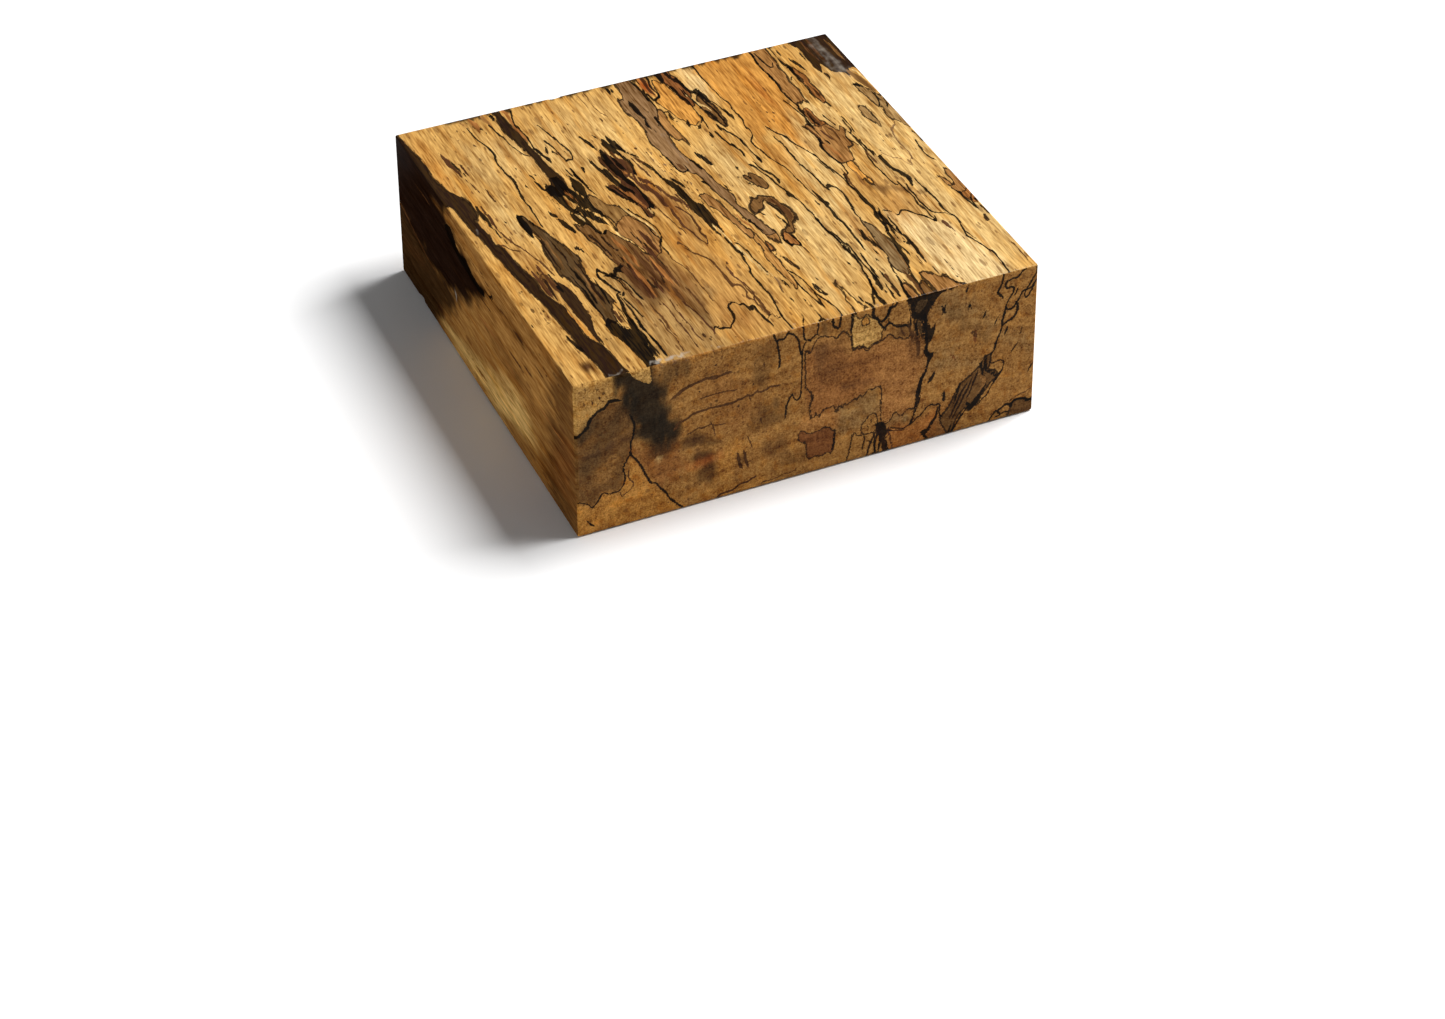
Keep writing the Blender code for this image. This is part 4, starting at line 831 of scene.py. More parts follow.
BOTTOM_DRAWING = """
haze olive fill=.4 stretch=3 20,60,7 116,40,6
haze honey fill=.6 stretch=4 60,110,7
haze cream fill=.5 stretch=3 128,90,8 92,40,6
haze rust fill=.5 stretch=3 44,90,4
haze umber fill=.5 stretch=2 36,38,5
band ink edge=.4 155,-3,6 140,-3,7.6 128,-3,6.2 120,-3,8.8 110,-3,7.2 98,-3,5 88,-3,4.6 76,-3,2.4 68,-3,0 /
 62,9,9.4 54,8.2,11 45,8.6,12.6 36,9.8,12.4 26,9.4,14.6 15,10.6,14 4,11.4,16.2 -3,12,16
band moss edge=.35 104,26,26.6 96,24.8,28.6 86,25.4,30.6 76,24.2,31 66,26,32.4 55,27,31.8 46,28.6,32.2
 38,30,31
band ash edge=.3 155,61,66.8 140,60.2,67.4 126,62,68.6 112,61,67 100,62.8,69.4 88,64,70.2 74,66,71
 60,67.4,72.6 48,69.4,73 38,72,73.4
band brown edge=.3 60,96,96.6 50,94.6,99 38,95.6,100.8 24,96.4,99.6 10,97.4,101.8 -3,98,102
band brick edge=.32 92,110,110.8 82,108.8,113.6 70,109.8,114.6 58,111,113.4 50,112.4,113
band olive edge=.28 124,134,134.6 112,132.6,138 98,133.8,139.6 84,135,138.8 72,136.6,137.4
band ink edge=.35 155,139,156 148,140.4,156 142,139.6,156 136,143,156 131,146.6,156 127,151,156 124,154,156
patch dun edge=.35 134,-3 135,6 138,9.6 137,15 140,18.6 143.6,14 142.6,8 146,3 146,-3
patch brown edge=.4 104,-3 104.6,5 107,8.4 110.4,6.2 112,8.8 114.6,4 115,-3
line w=.26 18,155 19.4,140 18.4,126 20.6,112 19.6,98 21.4,88
line w=.24 40,155 41.6,142 40.2,130 42.8,118 44.4,104 43.6,92 46.4,80
line w=.28 52,96 53.6,84 52.8,70 55.4,58 54.2,44 57,30 56.4,16 58.2,-1
line w=.24 78,155 79.2,140 77.8,124 80.6,108 79.8,92 82.6,78 82,64 84.8,50 84.2,34 86.8,20 86,-1
line w=.26 90,110 91.6,98 90.8,86 93.4,74
line w=.24 104,155 105.4,138 104.2,122 106.6,108 105.6,98
line w=.28 120,120 121.6,106 120.4,92 123,78 122.2,62 125.4,48 124.6,34 127.4,20 126.6,-1
line w=.22 146,110 147.6,96 146.2,82 148.8,68 147.4,52 149.8,38
streak soot 34,120,.4 35.4,110,1.2 36.6,100,1.4 38.4,92,.8 39.6,84,.4 / 46,74,.3 47.4,66,.9 48.8,58,1.1
 49.6,50,.4 / 72,104,.4 73.4,96,1 74.8,86,.8 75.6,78,.3 / 100,90,.3 101.4,82,.9 102.6,74,.7 103,68,.3 /
 116,140,.3 117.4,132,.7 118.6,124,.5 / 130,60,.3 131,52,.8 132.4,44,.4
streak rust 30,24,.3 31.4,16,.8 32.8,8,.5 / 86,140,.3 87.4,132,.9 88.8,124,.6
streak cream 62,52,.3 63,44,.6 64,36,.3
fleck soot 12,132,.4 28,134,.35 52,128,.35 96,120,.35 112,20,.35 74,24,.35 142,70,.35 140,40,.3 22,20,.35
 66,14,.3
specks stretch=2 90,70,6 110,130,6 / 140,60,6 50,30,6
"""


ZONE_LINE_HALF_WIDTH = 0.25
LINE_WEIGHT = 1.3  # how much broader than its pencil line a zone line has spread
FLECK_LENGTH = 2.2  # half the length of a fleck, in half-widths
FLECK_TIP = 0.1  # how wide a fleck's tips are, and how far they lean


@dataclass(frozen=True)
class Mark:
    """One mark of a drawing: rows of place across, place along and width, in millimetres."""

    tool: Tool
    hue: Hue
    points: np.ndarray
    fill: float = 1.0
    edge: float = 0.0
    soft: float = 1.0
    stretch: float = 1.0

    @classmethod
    def read(cls, head: list[str], places: list[str]) -> "Mark":
        """Reads one mark of a drawing.

        Args:
            head: a tool, then a hue and options as name=value.
            places: the points, each as across,along,width or as across,along.

        Returns:
            The mark that they describe.
        """
        tool, *words = head
        hues = [Hue[word.upper()] for word in words if word.isalpha()]
        options = {name: float(value) for name, value in (word.split("=") for word in words if "=" in word)}
        width = options.pop("w", ZONE_LINE_HALF_WIDTH)
        rows = [[float(number) for number in place.split(",")] for place in places]
        if tool == "band":
            left = [(across, along, 0.0) for along, across, _ in rows]
            right = [(across, along, 0.0) for along, _, across in reversed(rows)]
            rows = left + right
        points = np.array([row if len(row) == 3 else row + [width] for row in map(list, rows)])
        if tool == "line":
            points[:, 2] *= LINE_WEIGHT
        return cls(Tool[tool.upper()], hues[0] if hues else Hue.SOOT, points, **options)


def dashes(flecks: Mark) -> list[Mark]:
    """Each point of a mark of flecks as a short stroke, drawn out along the grain and leaning a little."""
    strokes = []
    for across, along, width in flecks.points:
        reach = FLECK_LENGTH * width
        top = (across - FLECK_TIP, along + reach, FLECK_TIP)
        foot = (across + FLECK_TIP, along - reach, FLECK_TIP)
        strokes.append(Mark(Tool.STREAK, flecks.hue, np.array([top, (across, along, width), foot])))
    return strokes


def read_drawing(text: str) -> list[Mark]:
    """Every mark of a drawing, with each fleck as a stroke of its own."""
    marks = []
    for entry in text.strip().replace("\n ", " ").splitlines():
        strokes = [stroke.split() for stroke in entry.split(" / ")]
        head = [word for word in strokes[0] if "," not in word]
        for words in strokes:
            mark = Mark.read(head, [word for word in words if "," in word])
            marks += dashes(mark) if mark.tool is Tool.FLECK else [mark]
    return marks


def rounded(points: np.ndarray, closed: bool, steps: int = 4) -> np.ndarray:
    """A smooth curve through a mark's points, by the Catmull-Rom rule.

    Args:
        points: the points, one in each row.
        closed: whether the last point joins the first.
        steps: how many pieces each stretch between two points is cut into.

    Returns:
        The curve's points, with a closed curve's first point repeated at its end.
    """
    if len(points) < 3:
        return points
    ends = (points[-1:], points[:2]) if closed else (points[:1], points[-1:])
    padded = np.vstack([ends[0], points, ends[1]])
    share = np.linspace(0, 1, steps, endpoint=False)[:, None, None]
    before, start, stop, after = padded[:-3], padded[1:-2], padded[2:-1], padded[3:]
    bend = (
        2 * start
        + (stop - before) * share
        + (2 * before - 5 * start + 4 * stop - after) * share**2
        + (3 * start - before - 3 * stop + after) * share**3
    ) / 2
    curve = bend.transpose(1, 0, 2).reshape(-1, points.shape[1])
    curve = np.vstack([curve, points[:1] if closed else points[-1:]])
    curve[:, 2] = np.maximum(curve[:, 2], 0)
    return curve


@dataclass(frozen=True)
class Reach:
    """How places lie to a curve: signed distance beside it, width there, and how far past its ends."""

    beside: np.ndarray
    width: np.ndarray
    past: np.ndarray


def reach_to(curve: np.ndarray, places: np.ndarray) -> Reach:
    """Measures places against a curve.

    Args:
        curve: rows of across, along and width.
        places: rows of across and along.

    Returns:
        The distance beside the curve, positive on its left, the width there and the overshoot past its ends.
    """
    start, step = curve[:-1], np.diff(curve, axis=0)
    length = np.hypot(step[:, 0], step[:, 1]) + TINY
    across = places[:, :1] - start[:, 0]
    along = places[:, 1:] - start[:, 1]
    free = (across * step[:, 0] + along * step[:, 1]) / length**2
    share = free.clip(0, 1)
    gap = np.hypot(across - share * step[:, 0], along - share * step[:, 1])
    side = (step[:, 0] * along - step[:, 1] * across) / length
    rows = np.arange(len(places))
    near = gap.argmin(1)
    free, share, gap, side = (table[rows, near] for table in (free, share, gap, side))
    past = np.where(near == 0, -free, 0).clip(0) + np.where(near == len(step) - 1, free - 1, 0).clip(0)
    past = past * length[near]
    beside = np.where(past > 0, side, np.copysign(gap, side))
    return Reach(beside, start[near, 2] + share * step[near, 2], past)


def inside(curve: np.ndarray, places: np.ndarray) -> np.ndarray:
    """Whether each place lies inside a closed curve."""
    across, along = places[:, :1], places[:, 1:]
    start, stop = curve[:-1], curve[1:]
    spans = (start[:, 1] > along) != (stop[:, 1] > along)
    rise = stop[:, 1] - start[:, 1]
    run = (along - start[:, 1]) * (stop[:, 0] - start[:, 0])
    crossing = start[:, 0] + run / np.where(rise == 0, TINY, rise)
    return (spans & (across < crossing)).sum(1) % 2 == 1


def eased(amount: np.ndarray) -> np.ndarray:
    """0 to 1 with a soft start and a soft end."""
    amount = amount.clip(0, 1)
    return amount * amount * (3 - 2 * amount)


def ripple(places: np.ndarray, size: Pair, seed: int) -> np.ndarray:
    """Smooth random values from -1 to 1.

    Args:
        places: rows of across and along.
        size: how far apart the random values stand, across and along.
        seed: which of the random fields it is.

    Returns:
        One value for each place.
    """
    side = 97  # the random values repeat after this many
    table = np.random.default_rng(seed).uniform(-1, 1, (side, side))
    spot = places / np.array(size) + side
    corner = np.floor(spot).astype(int)
    share = eased(spot - corner)
    column, row = corner.T % side
    next_column, next_row = (column + 1) % side, (row + 1) % side
    near = table[column, row] * (1 - share[:, 0]) + table[next_column, row] * share[:, 0]
    far = table[column, next_row] * (1 - share[:, 0]) + table[next_column, next_row] * share[:, 0]
    return near * (1 - share[:, 1]) + far * share[:, 1]


INFLUENCE = 1.35  # how far from a mark its values are kept, so that the mesh carries its edge
FADE_FROM = 0.75  # where a mark's width starts to fade, beside it
NOTHING = -1.2  # the half-width where there is no mark
FAR_OUT = -3.0  # the depth in a patch where there is none
FAR_IN = 4.0
THIN = -1  # the owner of a mark that shares its layer's ground with no other
BROAD_FROM = 0.45  # a stroke with at least this half-width keeps no side, so it may cross its like


@dataclass
class Layer:
    """Marks that keep clear of each other, as values at the places of a face."""

    beside: np.ndarray
    width: np.ndarray
    paint: np.ndarray
    nearness: np.ndarray
    owner: np.ndarray

    @classmethod
    def empty(cls, count: int) -> "Layer":
        """A layer with no mark on it."""
        return cls(
            np.full(count, FAR_OUT),
            np.full(count, NOTHING),
            np.zeros((count, 3)),
            np.full(count, np.inf),
            np.zeros(count, int),
        )


@dataclass
class Painted:
    """What a face's drawing comes to at each of its places."""

    ground: np.ndarray
    touches: np.ndarray
    patches: list[Layer]
    strokes: list[Layer]


@dataclass(frozen=True)
class Wave:
    """One random field that keeps marks from looking ruled."""

    size: Pair  # across and along the grain, in millimetres
    number: int
    depth: float = 1.0


@dataclass
class Canvas:
    """Draws marks on the places of one face."""

    places: np.ndarray
    ground: Hue
    wander: Pair
    level_grain: bool
    seed: int
    painted: Painted = field(init=False)
    spots: np.ndarray = field(init=False)
    deepest: dict[bool, np.ndarray] = field(init=False)

    PATCH_LAYERS = 4
    STROKE_LAYERS = 9
    DRIFT_ACROSS = Wave((2.4, 5.0), 0)
    DRIFT_ALONG = Wave((1.5, 9.0), 1)
    HAZE_TATTER = Wave((1.8, 6.0), 5, 0.35)
    HAZE_HAIRS = Wave((0.9, 5.0), 7, 0.4)
    SHADE_TATTER = Wave((1.6, 3.5), 6, 0.8)
    HAZE_CORE = 1.25  # more than 1, so that the middle of a haze is at full strength
    LEAST_STRETCH = 0.5
    STREAK_TAPER = 0.28  # half-width lost for each millimetre past the end
    LINE_TAPER = 0.5
    LAST_HAIR = -0.4  # the half-width at which a tapered end is dropped
    FADE_RATE = 0.9  # half-width lost for each millimetre beside the mark, from FADE_FROM outwards
    TOO_LOW = 5  # a layer below what the mark covers counts as having this many more clashing places
    POINT_LENGTH = 0.01  # how long a mark of one point is drawn

    def __post_init__(self) -> None:
        """Starts with bare wood, seen through a slight wander so that no edge is ruled."""
        count = len(self.places)
        shift = np.stack(
            [
                self.wander[0] * self.unevenness(self.places, self.DRIFT_ACROSS),
                self.wander[1] * self.unevenness(self.places, self.DRIFT_ALONG),
            ],
            1,
        )
        self.spots = self.places + shift
        self.painted = Painted(
            np.tile(self.ground.linear, (count, 1)),
            np.zeros((count, 3)),
            [Layer.empty(count) for _ in range(self.PATCH_LAYERS)],
            [Layer.empty(count) for _ in range(self.STROKE_LAYERS)],
        )
        self.deepest = {patch: np.full((count, 2), -1) for patch in (True, False)}

    def unevenness(self, places: np.ndarray, wave: Wave, drawn_out: float = 1.0) -> np.ndarray:
        """A wave's values at those places, with the wave drawn out along the grain."""
        size = (wave.size[0], wave.size[1] * drawn_out)
        found = ripple(places, size[::-1] if self.level_grain else size, self.seed + wave.number)
        return wave.depth * found

    def near(self, points: np.ndarray, margin: np.ndarray) -> np.ndarray:
        """The numbers of the places that a mark may reach."""
        low = points[:, :2].min(0) - margin
        high = points[:, :2].max(0) + margin
        return np.flatnonzero(((self.spots > low) & (self.spots < high)).all(1))

    def draw(self, mark: Mark) -> None:
        """Adds one mark."""
        if mark.tool in (Tool.HAZE, Tool.BLOOM, Tool.SPECKS):
            self.breathe(mark)
        elif mark.tool is Tool.SHADE:
            self.shade(mark)
        elif mark.tool in (Tool.PATCH, Tool.BAND):
            self.fill(mark)
        else:
            self.stroke(mark)

    def breathe(self, mark: Mark) -> None:
        """A soft stroke on the ground, in the painted sheen of the wax or in the specks."""
        squeeze = np.array([1, 1 / mark.stretch])
        radius = mark.points[:, 2].max()
        found = self.near(mark.points, radius / squeeze)
        flat = mark.points * np.append(squeeze, 1)
        if len(flat) == 1:
            flat = np.vstack([flat, flat + (self.POINT_LENGTH, 0, 0)])
        reach = reach_to(flat, self.spots[found] * squeeze)
        distance = np.hypot(reach.beside, reach.past)
        drawn_out = max(1 / mark.stretch if self.level_grain else mark.stretch, self.LEAST_STRETCH)
        tatter = 1 + self.unevenness(self.spots[found], self.HAZE_TATTER, drawn_out)
        amount = mark.fill * eased(self.HAZE_CORE - distance / (reach.width * tatter + SMALL))
        amount = amount * (1 + self.unevenness(self.spots[found], self.HAZE_HAIRS))
        if mark.tool is Tool.HAZE:
            self.stain(found, mark.hue, amount)
        else:
            # Column 0 of the touches holds the painted highlights of the wax, column 1 the specks.
            column = 0 if mark.tool is Tool.BLOOM else 1
            self.painted.touches[found, column] = np.maximum(self.painted.touches[found, column], amount)

    def stain(self, found: np.ndarray, hue: Hue, amount: np.ndarray) -> None:
        """Turns the ground at those places towards a hue."""
        base = self.painted.ground[found]
        self.painted.ground[found] = base + (hue.linear - base) * amount[:, None]

    def outline(self, mark: Mark, margin: float) -> tuple[np.ndarray, np.ndarray]:
        """The places near a closed mark, and how deep inside it each lies."""
        curve = rounded(mark.points, closed=True)
        found = self.near(curve, np.array([margin, margin]))
        reach = reach_to(curve, self.spots[found])
        within = inside(curve, self.spots[found])
        return found, np.where(within, 1, -1) * np.abs(reach.beside)

    def shade(self, mark: Mark) -> None:
        """A softly filled outline on the ground."""
        found, depth = self.outline(mark, mark.soft)
        tatter = mark.soft * self.unevenness(self.spots[found], self.SHADE_TATTER)
        self.stain(found, mark.hue, mark.fill * eased((depth + tatter) / mark.soft / 2 + 0.5))

    def fill(self, mark: Mark) -> None:
        """A patch, on the first layer where it is over what it covers and clear of its neighbours."""
        found, depth = self.outline(mark, INFLUENCE + mark.edge)
        close = depth > -INFLUENCE - mark.edge
        found, depth = found[close], depth[close]
        layer = self.choose(found, depth > 0, True, THIN)
        won = depth > layer.beside[found]
        rows = found[won]
        layer.beside[rows] = depth[won].clip(FAR_OUT, FAR_IN)
        layer.width[rows] = mark.edge if mark.edge else NOTHING
        layer.paint[rows] = mark.hue.linear * mark.fill + self.painted.ground[rows] * (1 - mark.fill)

    def stroke(self, mark: Mark) -> None:
        """A line or streak, fading past its ends."""
        curve = rounded(mark.points, closed=False)
        widest = curve[:, 2].max()
        found = self.near(curve, np.array([widest + INFLUENCE] * 2) + 1)
        reach = reach_to(curve, self.spots[found])
        broad = mark.tool is Tool.STREAK and widest > BROAD_FROM
        taper = self.STREAK_TAPER if mark.tool is Tool.STREAK else self.LINE_TAPER
        width = reach.width - taper * reach.past
        beside = np.abs(reach.beside)
        close = (beside < width.clip(0) + INFLUENCE) & (width > self.LAST_HAIR)
        found, width, beside, signed = found[close], width[close], beside[close], reach.beside[close]
        if not len(found):
            return
        if broad:
            signed = beside
        layer = self.choose(found, beside < width, False, list(Hue).index(mark.hue) + 1 if broad else THIN)
        nearness = beside - width
        won = nearness < layer.nearness[found]
        rows = found[won]
        layer.nearness[rows] = nearness[won]
        layer.beside[rows] = signed[won]
        faded = (beside[won] - width[won].clip(0) - FADE_FROM).clip(0)
        layer.width[rows] = width[won] - self.FADE_RATE * faded
        layer.paint[rows] = mark.hue.linear

    def choose(self, found: np.ndarray, covered: np.ndarray, patch: bool, owner: int) -> Layer:
        """Picks the layer for a mark.

        Args:
            found: the places that the mark reaches.
            covered: which of them it covers.
            patch: whether it is a patch rather than a stroke.
            owner: a broad stroke's hue, which may share a layer with its like, or THIN.

        Returns:
            The first layer over every mark that it covers with no mark near it, or else the least used there.
        """
        layers = self.painted.patches if patch else self.painted.strokes
        under = self.deepest[patch][found[covered]]
        shared = (under[:, 1] == owner) & (owner != THIN)
        lowest = (under[:, 0] + ~shared).max(initial=0)
        crowd = []
        for number, layer in enumerate(layers):
            there = layer.owner[found]
            clash = (there != 0) & ((there != owner) | (owner == THIN))
            crowd.append(clash.sum() + (number < lowest) * self.TOO_LOW)
        number = next((n for n in range(lowest, len(layers)) if not crowd[n]), int(np.argmin(crowd)))
        layers[number].owner[found] = owner
        over = found[covered][under[:, 0] <= number]
        self.deepest[patch][over] = (number, owner)
        return layers[number]


LONG_WANDER = (0.4, 2.2)  # how far a mark may wander across and along its face, in millimetres
SHORT_WANDER = (0.4, 0.45)

FACE_EXTENT = (152.4, 152.7, 54.5)  # of the drawings, in millimetres along X, Y and Z
ON_FACE = 1e-5  # how near to 0 or 1 a share is on a face
SEEDS_APART = 10  # between two faces, so that no two share a random field

# The faces lie apart on the piece's own map: the top and bottom below, the four sides in two rows above them
GAP = 1.5
MAP_SIDE = 2 * FACE_EXTENT[0] + 3 * GAP
NEXT_COLUMN = FACE_EXTENT[0] + 2 * GAP
ENDS_ROW = FACE_EXTENT[1] + 2 * GAP
SIDES_ROW = FACE_EXTENT[1] + FACE_EXTENT[2] + 3 * GAP


@dataclass(frozen=True)
class Face:
    """One face of the blank, square to an axis at one end of it, and its drawing.

    Across and along are the axes that the drawing's two measures run on, with whether each runs backwards.
    """

    name: str
    axis: int
    end: int
    across: tuple[int, bool]
    along: tuple[int, bool]
    drawing: str
    ground: Hue
    end_grain: bool
    on_map: Pair

    def places(self, shares: np.ndarray) -> np.ndarray:
        """Millimetres across and along the face, from shares of the block's three extents."""
        columns = []
        for axis, turned in (self.across, self.along):
            share = 1 - shares[:, axis] if turned else shares[:, axis]
            columns.append(share * FACE_EXTENT[axis])
        return np.stack(columns, 1)

    def paint(self, shares: np.ndarray, seed: int) -> Painted:
        """Draws the whole figure at the given shares of the block."""
        level_grain = self.across[0] == 1
        wander = LONG_WANDER if self.along[0] == 1 else SHORT_WANDER
        canvas = Canvas(self.places(shares), self.ground, wander, level_grain, seed)
        for mark in read_drawing(self.drawing):
            canvas.draw(mark)
        canvas.painted.touches[:, 2] = self.end_grain
        return canvas.painted


X, Y, Z = ((axis, False) for axis in range(3))
FACES = (
    Face("top", 2, 1, X, Y, TOP_DRAWING, Hue.GOLD, False, (GAP, GAP)),
    Face("bottom", 2, 0, X, Y, BOTTOM_DRAWING, Hue.GOLD, False, (NEXT_COLUMN, GAP)),
    Face("front", 1, 0, X, Z, FRONT_DRAWING, Hue.OCHRE, True, (GAP, ENDS_ROW)),
    Face("back", 1, 1, (0, True), Z, BACK_DRAWING, Hue.OCHRE, True, (NEXT_COLUMN, ENDS_ROW)),
    # The left face is side grain, yet has the darker ochre ground of the end grain: painted shade for the
    # side turned away from the key light.
    Face("left", 0, 0, (1, True), Z, LEFT_DRAWING, Hue.OCHRE, False, (GAP, SIDES_ROW)),
    Face("right", 0, 1, Y, Z, RIGHT_DRAWING, Hue.STRAW, False, (NEXT_COLUMN, SIDES_ROW)),
)


class Value:
    """A number in a node tree, on which Python's operators add Math nodes."""

    def __init__(self, nodes: "Nodes", socket: Socket) -> None:
        """Wraps a socket of that tree."""
        self.nodes = nodes
        self.socket = socket

    def with_math(self, operation: str, *values: "Value | float") -> "Value":
        """Adds one Math node."""
        return self.nodes.value("ShaderNodeMath", 0, {"operation": operation}, dict(enumerate(values)))

    def __add__(self, other: "Value | float") -> "Value":
        """self + other."""
        return self.with_math("ADD", self, other)

    def __radd__(self, other: float) -> "Value":
        """other + self."""
        return self.with_math("ADD", other, self)

    def __sub__(self, other: "Value | float") -> "Value":
        """self - other."""
        return self.with_math("SUBTRACT", self, other)

    def __rsub__(self, other: float) -> "Value":
        """other - self."""
        return self.with_math("SUBTRACT", other, self)

    def __mul__(self, other: "Value | float") -> "Value":
        """self * other."""
        return self.with_math("MULTIPLY", self, other)

    def __rmul__(self, other: float) -> "Value":
        """other * self."""
        return self.with_math("MULTIPLY", other, self)

    def __truediv__(self, other: "Value | float") -> "Value":
        """self / other."""
        return self.with_math("DIVIDE", self, other)

    def __pow__(self, other: float) -> "Value":
        """self ** other."""
        return self.with_math("POWER", self, other)

    def __abs__(self) -> "Value":
        """abs(self)."""
        return self.with_math("ABSOLUTE", self)

    def over(self, other: "Value | float") -> "Value":
        """The larger of the two."""
        return self.with_math("MAXIMUM", self, other)


Number = Value | float
NOISE_SPREAD = 5.0  # plain noise keeps near the middle of its range


class Nodes:
    """A node tree under construction."""

    def __init__(self, tree: bpy.types.NodeTree) -> None:
        """Starts on an empty tree."""
        self.tree = tree
        tree.nodes.clear()

    def add(self, kind: str, settings: dict | None = None, inputs: dict | None = None) -> bpy.types.Node:
        """Adds one node.

        Args:
            kind: the node's type.
            settings: its properties, set before its sockets.
            inputs: values or links for its sockets, by name or number.

        Returns:
            The new node.
        """
        node = self.tree.nodes.new(kind)
        for name, value in (settings or {}).items():
            setattr(node, name, value)
        for name, value in (inputs or {}).items():
            socket = node.inputs[name]
            value = value.socket if isinstance(value, Value) else value
            if isinstance(value, Socket):
                self.tree.links.new(value, socket)
            else:
                socket.default_value = value
        return node

    def value(self, kind: str, output: str | int, settings: dict | None, inputs: dict) -> Value:
        """Adds one node and gives the number at one of its outputs."""
        return Value(self, self.add(kind, settings, inputs).outputs[output])

    def mixed(self, amount: Number, first: Socket, second: Socket | Colour, blend: str = "MIX") -> Socket:
        """Mixes two colours.

        Args:
            amount: how much of the second, from 0 to 1.
            first: the colour underneath.
            second: the colour on top.
            blend: how the second goes on.

        Returns:
            The socket with the mixed colour.
        """
        settings = {"data_type": "RGBA", "blend_type": blend, "clamp_factor": True}
        node = self.add("ShaderNodeMix", settings, {0: amount, 6: first, 7: second})
        return node.outputs[2]

    def scaled(self, vector: Socket, factors: Triple) -> Socket:
        """A vector with each part multiplied."""
        return self.add("ShaderNodeVectorMath", {"operation": "MULTIPLY"}, {0: vector, 1: factors}).outputs[0]

    def noise(self, vector: Socket, size: Triple, detail: float) -> Value:
        """Noise from about -1 to 1 whose lumps have the given size."""
        spot = self.scaled(vector, tuple(1 / length for length in size))
        inputs = {"Vector": spot, "Scale": 1.0, "Detail": detail}
        return (self.value("ShaderNodeTexNoise", "Fac", None, inputs) - 0.5) * NOISE_SPREAD

    def through(
        self, kind: str, geometry: Socket, inputs: dict | None = None, settings: dict | None = None
    ) -> Socket | None:
        """Passes a geometry through one more node, and gives what comes out of it."""
        node = self.add(kind, settings, {"Geometry": geometry, **(inputs or {})})
        return node.outputs[0] if node.outputs else None

    def between(self, value: Value, low: Number, high: Number) -> Value:
        """0 at low, 1 at high, with a soft start and end."""
        inputs = {"Value": value, "From Min": low, "From Max": high}
        return self.value("ShaderNodeMapRange", "Result", {"interpolation_type": "SMOOTHSTEP"}, inputs)

    def field(self, name: str) -> Socket:
        """What the mesh holds under a name."""
        return self.add("ShaderNodeAttribute", {"attribute_name": name}).outputs["Vector"]

    def parts(self, vector: Socket) -> tuple[Value, Value, Value]:
        """The three numbers of a vector."""
        node = self.add("ShaderNodeSeparateXYZ", None, {0: vector})
        return tuple(Value(self, output) for output in node.outputs)


@dataclass(frozen=True)
class Grain:
    """One scale of noise in the wood."""

    size: Triple  # of its lumps across, along and up, in millimetres
    detail: float
    tone: float = 0.0  # how much it darkens or lightens the wood
    end_tone: float = 0.0  # how much more it does so on end grain


